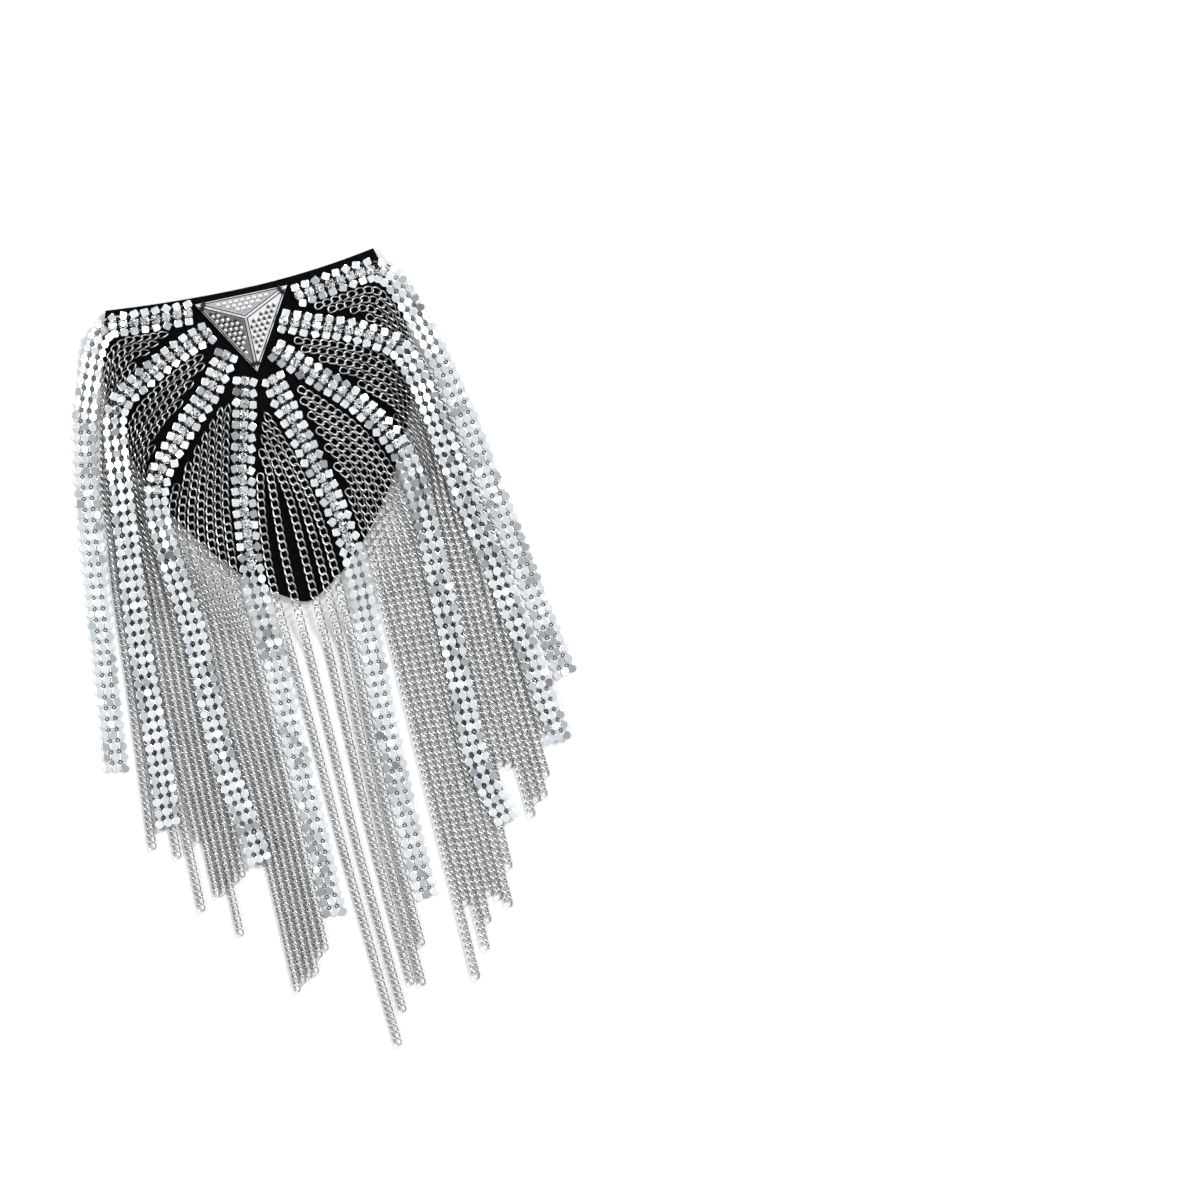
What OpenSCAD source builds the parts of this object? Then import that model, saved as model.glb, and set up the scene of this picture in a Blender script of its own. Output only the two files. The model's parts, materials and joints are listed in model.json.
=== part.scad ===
// Chain epaulette, lying face up: a domed felt pad with a three-sided stud, eight bands of
// metal mesh set with crystals, and a long fringe of flat chains.
// Routes are drawn with x to the right and y towards the collar, from the middle of the
// stud's long side. The whole part is then moved so that its origin is under its middle.

/* [Pad] */
// Height of the hollow under the pad's crown
crown_h = 7; // [5:0.5:9]
// Thickness of the felt
felt_t = 2.5; // [2:0.1:3]
// Rise of the pad's top edge towards its left corner
corner_rise_l = 2.5; // [0:0.5:4]
// Rise of the pad's top edge towards its right corner
corner_rise_r = 4.5; // [0:0.5:6]

/* [Chains] */
// Width of a chain that lies flat
chain_w = 2.7; // [2.4:0.1:2.7]
// Thickness of a chain that lies flat
chain_t = 1.5; // [1.3:0.1:1.5]

/* [Mesh bands] */
// Width of a band, which is three plates
band_w = 9; // [8.4:0.2:9]
// Thickness of a band
band_t = 0.8; // [0.6:0.1:0.9]

/* [Crystals] */
// Width of a crystal
stone_w = 2.6; // [2.2:0.1:2.8]
// Height of a crystal
stone_h = 1.5; // [1.2:0.1:1.8]
// Distance from one crystal to the next
stone_pitch = 3.9; // [3.6:0.1:4.4]

/* [Stud] */
// Length of the stud's side along the pad's top edge
stud_w = 34; // [30:1:35]
// Length of the stud from that side to its point
stud_l = 28.5; // [26:0.5:30]
// Height of the stud's peak above the felt
stud_h = 7; // [5:0.5:9]
// Width of the raised rib along each ridge
rib_w = 1.4; // [1:0.1:2]

/* [Pin] */
// Length of the brooch bar under the pad
pin_l = 34; // [30:1:36]
// Depth of the brooch bar below the felt
pin_h = 5; // [4:0.5:5]

/* [Hidden] */
GROUPS = ["outer_left", "left", "inner_left", "centre", "inner_right", "right", "outer_right"];
COUNTS = [4, 6, 7, 5, 7, 6, 4];
BAND_IDS = [1, 2, 3, 4, 5, 6, 7, 8];

// Middle of the part in the drawing, which becomes the origin
middle = [3.2, -135, 0];

// The dome follows an ellipse with its centre at the middle of the pad's top edge
pad_mid = 0.5;
top_y = 2;
dome_a = 55.5;
dome_b = 113;
// Reach is 0 at the ellipse's centre and 1 on the ellipse
flat_reach = 0.125;
rim_reach = 1.09;
foot_reach = 1.38;
// Height and half-width of the pad from its top corners to its tip
PAD_ROWS = [
    [-9, 53.5], [-18, 55], [-27, 55.5], [-37, 54.5], [-46, 52], [-55, 49.5], [-64, 45.5],
    [-73, 41], [-82, 35], [-90, 29], [-98, 22], [-104, 15.5], [-109, 8.5]
];
pad_top_half = 49.5;
pad_tip_y = -113;
// Shares of the way from the ellipse's centre to the outline at which the felt has rings
FELT_RINGS = [0.34, 0.56, 0.76, 0.91, 1];

// Clear gap between pieces that rest on each other, and of chains and bands over the felt
felt_gap = 0.45;
stone_gap = 0.4;
gap = 0.15;
// Least distance between chains that lie flat beside each other
flat_pitch = chain_w + 0.1;
// How far past its group's first edge a chain's middle may start
start_slack = 0.15;
// Least share of a row's length for which a chain gets a point before its first row
least_lead = 0.25;
tube_sides = 8;

// Each band's route along its middle plate: x, y, and its rise over the chains under it
BAND_ROWS = [
    [
        [-17.8, -2.7, 0], [-28, -2.5, 0], [-38, -2, 0], [-45, -1.5, 0], [-50, -2, 0],
        [-53.5, -5, 0], [-56, -9.5, 0], [-58.3, -15, 0], [-61, -22, 0], [-64.3, -31.5, 0],
        [-66.5, -42, 0], [-68.5, -54, 0], [-70.5, -70, 0], [-73, -93, 0],
        [-75.5, -118, 0], [-79.5, -159.5, 0]
    ],
    [
        [-12.9, -10.4, 0], [-24, -14.5, 0], [-33, -18.5, 0], [-40.5, -22.5, 1.1],
        [-46.5, -26, 2.8], [-50.5, -29, 3.5], [-53, -33, 3.6], [-54.5, -39, 3.6],
        [-55.5, -47, 3.4], [-56.5, -58, 3.2], [-58, -72, 3.1], [-59.5, -88, 2.8], [-61.5, -108, 2.3],
        [-62.5, -130, 2], [-63.5, -158, 2], [-65.5, -182.5, 2]
    ],
    [
        [-8.5, -18.8, 0], [-17.5, -31, 0], [-24.5, -38, 0], [-31, -44.5, 0.2],
        [-37, -51, 2.2], [-41.5, -57, 3.2], [-44.5, -64, 3.4], [-45.5, -72, 3.2],
        [-45, -84, 3], [-43.5, -98, 2.5], [-42, -112, 2.1], [-41.5, -135, 2],
        [-41, -162, 2.2], [-38, -184, 2.4], [-35.5, -202, 2.4]
    ],
    [
        [-4.6, -29, 0], [-7, -39.5, 0], [-9.6, -50, 0], [-12.2, -61, 0], [-14.2, -72, 0],
        [-15.5, -83, 0], [-16.4, -94, 0], [-16.8, -103, 0], [-16.3, -115, 0], [-15.5, -135, 0],
        [-14.8, -165, 0], [-13.8, -195, 0], [-13.5, -226.5, 0]
    ],
    [
        [4.65, -30.3, 0], [6.5, -39.5, 0], [9, -49.5, 0], [11.8, -60, 0], [14.7, -71, 0],
        [17.2, -82, 0], [19, -93, 0], [20, -103, 0], [20, -115, 0], [19.5, -135, 0],
        [19, -165, 0], [19.2, -195, 0], [20.5, -227, 0]
    ],
    [
        [7.05, -21.05, 0], [16.67, -30.54, 0], [24, -37.5, 0], [30.8, -44.5, 0.2],
        [36.5, -52, 1.8], [41.5, -60, 3.3], [45, -68.5, 3.3], [47, -78, 3.2],
        [48, -90, 2.6], [48.5, -108, 2.2], [48.5, -135, 2.1], [48, -160, 2], [48, -178, 2],
        [50.3, -191, 2], [54.5, -206, 2]
    ],
    [
        [11.3, -11.9, 0], [22, -16, 0], [31, -19, 0], [39.3, -22.5, 0.8],
        [45.2, -26, 3.2], [49.7, -29, 3.8], [52.7, -33, 3.9], [54.7, -38.5, 3.7],
        [56.3, -45, 3.4], [58.5, -55, 3.3], [60.5, -67, 3.2], [62.5, -80, 3.1], [65.5, -96, 2.8],
        [69, -115, 2.6], [73.5, -140, 2.3], [76.5, -160, 2.2], [79, -181.5, 2.1]
    ],
    [
        [18.3, -5, 0], [27, -3.7, 0], [35, -2.5, 0], [43, -1.3, 0], [48.5, -1.3, 0],
        [53, -4, 0], [56, -9.5, 0], [58.3, -16, 0], [61, -24, 0], [63.8, -33, 0],
        [66.3, -42, 0], [68.5, -52, 0], [70.7, -64, 0], [73, -79, 0],
        [76.5, -100, 0], [81, -128, 0], [86, -159, 0]
    ]
];
// How far along each band its crystals run
STONE_RUN = [34, 45, 59, 71, 71, 62, 44, 36];
stone_start = 2;

// How many of each group's first rows lie in its narrow opening, where the chains start
FAN_ROWS = [4, 5, 5, 3, 4, 6, 4];
// Where each chain ends
END_Y = [
    [-189, -183, -194, -214.5],
    [-190, -210.5, -210, -226, -207, -205.5],
    [-203, -250, -247.5, -246, -245, -239.5, -237.5],
    [-276.5, -265, -256, -257, -243],
    [-259, -232, -249.5, -240, -230.5, -232.5, -236],
    [-222.5, -205, -186, -187, -206, -200.5],
    [-200, -193, -178, -176]
];
// Each chain's share of the way across its group
SHARES = [
    [0, 0.33, 0.655, 1],
    [0, 0.2, 0.4, 0.6, 0.8, 1],
    [0, 1 / 6, 2 / 6, 3 / 6, 4 / 6, 5 / 6, 1],
    [0, 0.28, 0.59, 0.81, 1],
    [0, 1 / 6, 2 / 6, 3 / 6, 4 / 6, 5 / 6, 1],
    [0, 0.2, 0.4, 0.6, 0.8, 1],
    [0, 0.325, 0.67, 1]
];
// Side to which chains turned on edge lean
LEAN = [1, 1, 1, 1, -1, -1, -1];
// Edge that a group keeps to in its narrow opening: -1 its first chain's, 1 its last chain's
KEEP = [-1, -1, 1, 1, 1, 1, 1];
// Rows across each group: x and y of its first chain, then x and y of its last chain
GROUP_ROWS = [
    [
        [-28.2, -8.4, -27.9, -9.9], [-32.7, -8.3, -32.3, -11.2], [-38, -8.1, -36, -13.2],
        [-44.3, -7.8, -42, -16.1],
        [-49.6, -10.5, -47.4, -20.4], [-51.9, -14.7, -48.9, -24], [-54.3, -20.4, -49.4, -29.2],
        [-57, -28, -51.5, -34.4], [-59.1, -36, -53.7, -39.8], [-61, -45, -55.7, -46.5],
        [-63.6, -58, -57.9, -58], [-64.9, -75, -58.4, -75], [-66.8, -97, -58.9, -97],
        [-68.6, -130, -60, -130], [-73.5, -200, -60, -200], [-74, -220, -60, -220]
    ],
    [
        [-17.6, -18.6, -16.7, -20.3], [-25, -21.5, -23, -27], [-31.5, -24.7, -28, -33.4],
        [-38, -28.5, -34.7, -38.9], [-44.5, -33.3, -40.7, -45.3], [-49.5, -39.5, -44.7, -52.8],
        [-53.9, -47.6, -46.4, -59.6], [-56, -61, -46.3, -67], [-56.2, -76, -46.4, -77],
        [-56.1, -94, -44.5, -94], [-56.6, -115, -42.8, -115],
        [-57.2, -145, -43.2, -145], [-56.4, -190, -43.3, -190], [-56, -230, -43, -230]
    ],
    [
        [-13.2, -36.2, -12.4, -37.2], [-18.7, -41.3, -14.9, -45.2],
        [-25.3, -48.5, -17.1, -55], [-31, -54.5, -19.2, -63.5], [-36.3, -61.5, -21.1, -73],
        [-40, -69.5, -22.2, -83], [-42, -81, -23, -93.5], [-40.9, -97, -23.5, -105],
        [-39.9, -115, -22.6, -119], [-39.6, -138, -21.6, -138], [-37.6, -165, -20.9, -165],
        [-36, -195, -20, -195], [-34.8, -255, -19.2, -255]
    ],
    [
        [-1, -43, -0.6, -43], [-4.2, -54, 3.4, -54], [-6.5, -64, 6.4, -64],
        [-8.5, -75, 9, -75], [-9.8, -86, 10.8, -86], [-10.5, -97, 12, -97],
        [-10.4, -108, 12.6, -108], [-9.8, -121, 13, -121], [-8.8, -140, 13.2, -140],
        [-7.4, -165, 12.9, -165], [-5.6, -205, 13.1, -205], [-0.5, -280, 16.5, -280]
    ],
    [
        [12.3, -37.6, 13, -37], [14.6, -46, 18.3, -42], [17.5, -56, 24.6, -48.5],
        [20.2, -66, 30, -54.5], [22.8, -76, 35.3, -62.5], [24.8, -86, 39, -71.5],
        [26.2, -96, 41.8, -82], [27, -107, 43.5, -94], [27.2, -121, 44.8, -118],
        [28, -145, 45.6, -145], [29.3, -185, 47, -185], [32, -262, 49.8, -262]
    ],
    [
        [14.3, -21.7, 15.2, -20], [19.6, -25.2, 21.3, -22.3], [23.8, -29.4, 26.3, -23.6],
        [28.8, -34, 32.3, -26],
        [34.5, -39.5, 39.2, -28.9], [40.3, -46.4, 45.4, -33.2], [44.9, -53.4, 50, -40],
        [47.5, -60.4, 54.3, -48.2], [48.8, -70.5, 57.7, -62], [48.4, -81, 59, -77],
        [47.2, -94, 60, -94], [47.8, -115, 61.9, -115],
        [49, -150, 63.2, -150], [50.8, -195, 66.3, -195], [51.8, -230, 67.5, -230]
    ],
    [
        [25.1, -11.4, 24.9, -10.1], [32, -12.6, 31.7, -9], [37, -14.4, 37, -8.6],
        [42.3, -16.8, 42.4, -7.7],
        [47, -20.6, 48, -8.7], [49, -24.8, 51.5, -13.8], [50.3, -30, 53.9, -20],
        [52.6, -36, 57.3, -31.2], [55.2, -43, 60.6, -41.7], [57.6, -51.5, 62.8, -51.5],
        [59.7, -62, 64.9, -62], [61.9, -77, 67.1, -77], [63, -94, 69.7, -94],
        [65, -115, 72.9, -115], [66, -148, 74.5, -148], [69.5, -200, 78, -200]
    ]
];

// Shared geometry

function unit(v) = v / max(norm(v), 0.0001);
function reach(p) = pow((p.x - pad_mid) / dome_a, 2) + pow((p.y - top_y) / dome_b, 2);
// Height of the felt's underside
function under(p) = crown_h * min(1, max(0, (1 - reach(p)) / (1 - flat_reach)));
// Height on which a chain or band lies: the felt, the slope past its rim, or the surface
function drape(p) =
    reach(p) < rim_reach
        ? under(p) + felt_t + felt_gap
        : (felt_t + felt_gap) * max(0, (foot_reach - reach(p)) / (foot_reach - rim_reach));

// Smooth curve through a route's points, at a place counted in points from its start
function curve(route, u) =
    let (
        last = len(route) - 1,
        i = min(max(floor(u), 0), last - 1),
        t = u - i,
        a = route[max(i - 1, 0)],
        b = route[i],
        c = route[i + 1],
        d = route[min(i + 2, last)]
    )
    (2 * b + (c - a) * t + (2 * a - 5 * b + 4 * c - d) * t * t
        + (3 * b - a - 3 * c + d) * t * t * t) / 2;
function run_of(route, u) = unit(xy(curve(route, u + 0.05)) - xy(curve(route, u - 0.05)));
function xy(p) = [p.x, p.y];

// Place between two others at which a route's reach passes a level
function crossing(route, level, lo, hi, steps = 7) =
    steps == 0
        ? (lo + hi) / 2
        : reach(curve(route, (lo + hi) / 2)) < level
            ? crossing(route, level, (lo + hi) / 2, hi, steps - 1)
            : crossing(route, level, lo, (lo + hi) / 2, steps - 1);
function crossings(route, level, i) =
    reach(curve(route, i + 0.25)) < level && reach(curve(route, i + 0.75)) >= level
        ? [crossing(route, level, i, i + 1)]
        : [];
// Where a swept solid has its rings: at the route's points, at the pad's rim and at its foot
function ring_places(route) = [
    for (i = [0:len(route) - 1])
        for (u = i == len(route) - 1
            ? [i]
            : concat([i], crossings(route, rim_reach, i), crossings(route, foot_reach, i)))
            u
];

// Closed solid through rings of equal numbers of points
module skin(rings) {
    n = len(rings[0]);
    last = len(rings) - 1;
    polyhedron(
        points = [for (r = rings) for (p = r) p],
        faces = concat(
            [[for (j = [0:n - 1]) j]],
            [[for (j = [n - 1:-1:0]) last * n + j]],
            [
                for (i = [0:last - 1])
                    for (j = [0:n - 1])
                        let (a = i * n + j, b = i * n + (j + 1) % n)
                            each [[a, b + n, b], [a, a + n, b + n]]
            ]
        ),
        convexity = 8
    );
}

// Chains

function row_mid(rows, k) = [rows[k][0] + rows[k][2], rows[k][1] + rows[k][3]] / 2;
function row_across(rows, k) = [rows[k][2] - rows[k][0], rows[k][3] - rows[k][1]];
function row_run(rows, k) =
    unit(row_mid(rows, min(k + 1, len(rows) - 1)) - row_mid(rows, max(k - 1, 0)));
// Width of a group at right angles to its run
function row_room(rows, k) = abs(cross(row_across(rows, k), row_run(rows, k)));
// In the narrow opening the chains keep their width beside the next band, and start one by one
function row_pitch(g, k) =
    let (even = row_room(GROUP_ROWS[g], k) / (COUNTS[g] - 1))
    k < FAN_ROWS[g] ? max(even, flat_pitch) : even;
function row_share(g, i, k) = k < FAN_ROWS[g] ? i / (COUNTS[g] - 1) : SHARES[g][i];
function row_offset(g, i, k) =
    let (
        share = row_share(g, i, k),
        behind = (KEEP[g] > 0 ? 1 - share : share) * (COUNTS[g] - 1)
    )
    KEEP[g] * (row_room(GROUP_ROWS[g], k) / 2 - row_pitch(g, k) * behind);
// How far a chain is inside the edge that is across from the one it keeps to
function inside(g, i, k) =
    KEEP[g] * row_offset(g, i, k) + row_room(GROUP_ROWS[g], k) / 2 + start_slack;
function row_point(g, i, k) =
    row_mid(GROUP_ROWS[g], k)
    + row_across(GROUP_ROWS[g], k) / row_room(GROUP_ROWS[g], k) * row_offset(g, i, k);
function first_row(g, i, k = 0) = inside(g, i, k) >= 0 ? k : first_row(g, i, k + 1);
// How far before its first row a chain starts, as a share of the way to the row before
function lead(g, i) =
    let (k = first_row(g, i))
    k == 0 ? 0 : inside(g, i, k) / (inside(g, i, k) - inside(g, i, k - 1));
function has_lead(g, i) = lead(g, i) > least_lead;
function lead_point(g, i) =
    let (k = first_row(g, i), t = lead(g, i))
    t * row_point(g, i, k - 1) + (1 - t) * row_point(g, i, k);
// A chain's route runs from its start to the height of its end
function chain_route(g, i) =
    let (
        pts = concat(
            has_lead(g, i) ? [lead_point(g, i)] : [],
            [for (k = [first_row(g, i):len(GROUP_ROWS[g]) - 1]) row_point(g, i, k)]
        ),
        end_y = END_Y[g][i],
        n = len([for (p = pts) if (p.y > end_y + 4) p]),
        a = pts[n - 1],
        b = pts[n]
    )
    concat([for (k = [0:n - 1]) pts[k]], [a + (b - a) * (a.y - end_y) / (a.y - b.y)]);
// The room between a chain and its neighbours decides how far it turns on edge
function point_run(g, i, k) =
    unit(row_point(g, i, min(k + 1, len(GROUP_ROWS[g]) - 1)) - row_point(g, i, max(k - 1, 0)));
function pair_room(g, i, k) =
    i < 0 || i > COUNTS[g] - 2
        ? 99
        : abs(cross(
            row_point(g, i + 1, k) - row_point(g, i, k),
            unit(point_run(g, i, k) + point_run(g, i + 1, k))
        ));
function tilt_at(g, i, k) =
    let (
        half = (min(pair_room(g, i - 1, k), pair_room(g, i, k)) - 0.35) / 2,
        a = chain_w / 2,
        b = chain_t / 2
    )
    acos(sqrt(min(1, max(0, (half * half - b * b) / (a * a - b * b)))));
function chain_tilt(g, i, u) =
    let (
        start = first_row(g, i) + u - (has_lead(g, i) ? (u < 1 ? lead(g, i) * (1 - u) + u : 1) : 0),
        k = min(start, len(GROUP_ROWS[g]) - 1),
        a = floor(k),
        b = min(a + 1, len(GROUP_ROWS[g]) - 1)
    )
    LEAN[g] * ((1 - (k - a)) * tilt_at(g, i, a) + (k - a) * tilt_at(g, i, b));
// Eight-sided section with its flats chain_w and chain_t apart, as [across, up]
function section_point(j, tilt) =
    let (
        a = (j + 0.5) * 360 / tube_sides,
        flat = cos(180 / tube_sides),
        s = chain_w / 2 / flat * cos(a),
        h = chain_t / 2 / flat * sin(a)
    )
    [s * cos(tilt) - h * sin(tilt), s * sin(tilt) + h * cos(tilt)];
function chain_ring(route, g, i, u) =
    let (
        p = curve(route, u),
        d = run_of(route, u),
        side = [-d.y, d.x],
        tilt = chain_tilt(g, i, u),
        pts = [for (j = [0:tube_sides - 1]) section_point(j, tilt)],
        low = min([for (q = pts) q.y]),
        z = drape(p) - low
    )
    [for (q = pts) [p.x + side.x * q.x, p.y + side.y * q.x, z + q.y]];
module chain(g, i) {
    route = chain_route(g, i);
    color("silver") skin([for (u = ring_places(route)) chain_ring(route, g, i, u)]);
}

// Mesh bands

// Middle, heading, sideways direction, height of each edge
function band_frame(rows, u) =
    let (
        p = curve(rows, u),
        d = run_of(rows, u),
        side = [-d.y, d.x],
        rise = max(0, p.z)
    )
    [xy(p), d, side, drape(xy(p) - side * band_w / 2) + rise, drape(xy(p) + side * band_w / 2) + rise];
function band_ring(rows, u) =
    let (f = band_frame(rows, u), a = f[0] - f[2] * band_w / 2, b = f[0] + f[2] * band_w / 2)
    [
        [a.x, a.y, f[3]], [b.x, b.y, f[4]],
        [b.x, b.y, f[4] + band_t], [a.x, a.y, f[3] + band_t]
    ];
module band(b) {
    rows = BAND_ROWS[b - 1];
    color("gainsboro") skin([for (u = ring_places(rows)) band_ring(rows, u)]);
}

// Crystals

// Distance along a band at each tenth of the way between its points, with that place
function band_lengths(rows, u = 0, run = 0) =
    u > 9
        ? []
        : concat(
            [[run, u]],
            band_lengths(rows, u + 0.1, run + norm(xy(curve(rows, u + 0.1)) - xy(curve(rows, u))))
        );
function band_mid(rows, u) = let (f = band_frame(rows, u)) (f[3] + f[4]) / 2;
// A stone leans with the band under it, along it and across it
function stone_ring(rows, u, size, level) =
    let (
        f = band_frame(rows, u),
        step = 0.15,
        ahead = norm(xy(curve(rows, u + step)) - xy(curve(rows, u - step))),
        along = (band_mid(rows, u + step) - band_mid(rows, u - step)) / ahead,
        across = (f[4] - f[3]) / band_w,
        z = band_mid(rows, u) + band_t + stone_gap + level,
        r = size / 2 / cos(22.5)
    )
    [
        for (j = [0:7])
            let (a = (j + 0.5) * 45, s = r * cos(a), t = r * sin(a), q = f[0] + f[1] * s + f[2] * t)
                [q.x, q.y, z + along * s + across * t]
    ];
module crystals(b) {
    rows = BAND_ROWS[b - 1];
    lengths = band_lengths(rows);
    color("white")
        for (s = [stone_start:stone_pitch:STONE_RUN[b - 1]]) {
            u = lookup(s, lengths);
            skin([stone_ring(rows, u, stone_w, 0), stone_ring(rows, u, stone_w * 0.62, stone_h)]);
        }
}

// Felt pad

// Outline from the right corner round the tip to the left corner
PAD_OUTLINE = concat(
    [[pad_mid + pad_top_half, top_y + corner_rise_r]],
    [for (r = PAD_ROWS) [pad_mid + r[1], r[0]]],
    [[pad_mid, pad_tip_y]],
    [for (k = [len(PAD_ROWS) - 1:-1:0]) [pad_mid - PAD_ROWS[k][1], PAD_ROWS[k][0]]],
    [[pad_mid - pad_top_half, top_y + corner_rise_l]]
);
// The top edge curves up to its corners, so its height grows with the square of the share
function pad_point(share, p) =
    [
        pad_mid + (p.x - pad_mid) * share,
        top_y + (p.y - top_y) * (p.y > top_y ? share * share : share)
    ];
function felt_points(lift) = concat(
    [[pad_mid, top_y, under([pad_mid, top_y]) + lift]],
    [
        for (share = FELT_RINGS)
            for (p = PAD_OUTLINE)
                let (q = pad_point(share, p)) [q.x, q.y, under(q) + lift]
    ]
);
module backing() {
    n = len(PAD_OUTLINE);
    rings = len(FELT_RINGS);
    count = 1 + n * rings;
    sheet = concat(
        [for (j = [0:n - 2]) [0, 1 + j, 2 + j]],
        [
            for (r = [0:rings - 2])
                for (j = [0:n - 2])
                    let (a = 1 + r * n + j, b = a + n)
                        each [[a, b, b + 1], [a, b + 1, a + 1]]
        ]
    );
    // Edge of the sheet in order: the outline, then the top edge from left to right
    edge = concat(
        [for (j = [0:n - 1]) 1 + (rings - 1) * n + j],
        [for (r = [rings - 2:-1:0]) (r + 1) * n],
        [0],
        [for (r = [0:rings - 2]) 1 + r * n]
    );
    m = len(edge);
    color("#161616")
        polyhedron(
            points = concat(felt_points(felt_t), felt_points(0)),
            faces = concat(
                sheet,
                [for (f = sheet) [f[2] + count, f[1] + count, f[0] + count]],
                [
                    for (j = [0:m - 1])
                        let (a = edge[j], b = edge[(j + 1) % m])
                            each [[b, a, a + count], [b, a + count, b + count]]
                ]
            ),
            convexity = 6
        );
}

// Stud

stud_z = crown_h + felt_t + gap;
stud_peak = [0, -0.3 * stud_l];
STUD_CORNERS = [[stud_w / 2, -0.2], [-stud_w / 2, -0.2], [0, -stud_l]];
// Each level of the stud: height, and its share of the way from the peak to the base
STUD_LEVELS = [[0, 1], [0.8, 1], [stud_h - 0.4, 0.09], [stud_h, 0.03]];
// A ridge in plan: the felt side, then the rib's two faces and two feet
function rib_plan(k, share) =
    let (
        corner = stud_peak + (STUD_CORNERS[k] - stud_peak) * share,
        out = unit(STUD_CORNERS[k] - stud_peak),
        side = [-out.y, out.x],
        before = unit(STUD_CORNERS[(k + 2) % 3] - STUD_CORNERS[k]),
        after = unit(STUD_CORNERS[(k + 1) % 3] - STUD_CORNERS[k]),
        w = min(rib_w, share * 12)
    )
    [
        corner + before * w * 0.9,
        corner - side * w * 0.4 + out * 0.3 * share,
        corner + side * w * 0.4 + out * 0.3 * share,
        corner + after * w * 0.9
    ];
module stud() {
    color("darkgray")
        skin([
            for (level = STUD_LEVELS)
                [for (k = [0:2]) for (p = rib_plan(k, level[1])) [p.x, p.y, stud_z + level[0]]]
        ]);
}

// Brooch bar

pin_y = -12;
bar_w = 6;
bar_t = 0.8;
block_l = 4;
wire_r = 0.5;
module pin_bar() {
    top = crown_h - gap;
    color("silver") {
        translate([pad_mid - pin_l / 2, pin_y - bar_w / 2, top - bar_t])
            cube([pin_l, bar_w, bar_t]);
        for (x = [pad_mid - pin_l / 2, pad_mid + pin_l / 2 - block_l])
            translate([x, pin_y - 1.5, top - pin_h + 1])
                cube([block_l, 3, pin_h - 1 - bar_t / 2]);
        translate([pad_mid - pin_l / 2 + 1, pin_y, top - pin_h + 2])
            rotate([0, 90, 0])
                cylinder(r = wire_r, h = pin_l - 2, $fn = 24);
    }
}

translate(-middle) {
    backing();
    stud();
    pin_bar();
    for (b = BAND_IDS) {
        band(b);
        crystals(b);
    }
    for (g = [0:6])
        for (i = [0:COUNTS[g] - 1])
            chain(g, i);
}
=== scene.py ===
"""Chain epaulette, lying face up: felt pad, pyramid stud, eight crystal-set mesh bands and a chain fringe.

Sizes are in millimetres in the drawing's own frame, which has its origin at the middle of the stud's
long side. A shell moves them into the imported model's frame, in metres, when it becomes a piece.
"""
import sys
import json
import logging
import math
from dataclasses import dataclass, field
from enum import Enum
from typing import Sequence

import bpy
import numpy as np
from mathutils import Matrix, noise

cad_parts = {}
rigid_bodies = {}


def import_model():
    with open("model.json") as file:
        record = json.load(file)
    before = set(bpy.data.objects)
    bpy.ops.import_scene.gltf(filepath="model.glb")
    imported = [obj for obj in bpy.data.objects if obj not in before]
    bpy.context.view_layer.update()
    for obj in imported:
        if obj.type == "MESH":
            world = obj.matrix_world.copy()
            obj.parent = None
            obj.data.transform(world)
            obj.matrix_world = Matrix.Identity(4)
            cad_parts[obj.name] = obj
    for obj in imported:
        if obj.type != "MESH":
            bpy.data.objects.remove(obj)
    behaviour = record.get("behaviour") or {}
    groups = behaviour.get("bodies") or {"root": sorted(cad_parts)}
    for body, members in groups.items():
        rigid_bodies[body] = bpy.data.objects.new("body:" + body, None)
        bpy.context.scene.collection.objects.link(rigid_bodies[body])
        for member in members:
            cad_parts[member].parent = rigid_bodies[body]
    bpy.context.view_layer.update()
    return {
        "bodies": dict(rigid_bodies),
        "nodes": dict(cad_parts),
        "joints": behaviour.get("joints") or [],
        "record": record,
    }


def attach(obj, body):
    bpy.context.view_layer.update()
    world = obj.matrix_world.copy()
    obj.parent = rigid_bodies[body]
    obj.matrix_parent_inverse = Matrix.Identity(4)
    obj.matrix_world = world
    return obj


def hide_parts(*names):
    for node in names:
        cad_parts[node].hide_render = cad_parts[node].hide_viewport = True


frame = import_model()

LOG = logging.getLogger("epaulette")
BODY = "root"
TONE = "tone"
MILLIMETRE = 0.001
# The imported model's origin in the drawing's frame
MIDDLE = np.array([3.2, -135.0, 0.0])
UP = np.array([0.0, 0.0, 1.0])
# Where the random draws of each band's plates, crystals and stitches start, with its number added
PLATE_SEED = 100
STONE_SEED = 300
STITCH_SEED = 500

Numbers = Sequence[float]
Mesh = tuple[np.ndarray, list[tuple[int, ...]]]


class Slot(Enum):
    """The record's material slots."""

    FELT = "felt"
    SILVER = "antique_silver"
    STEEL = "steel"
    MESH = "mesh_metal"
    CRYSTAL = "crystal"
    CHAIN = "chain_metal"


class Lean(Enum):
    """The side to which the chains of a group lean where they stand on edge."""

    LEFT = 1
    RIGHT = -1


class Edge(Enum):
    """The edge that the chains of a group keep to where they start, its first chain's or its last chain's."""

    FIRST = -1
    LAST = 1


# Shader values and graphs


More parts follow.
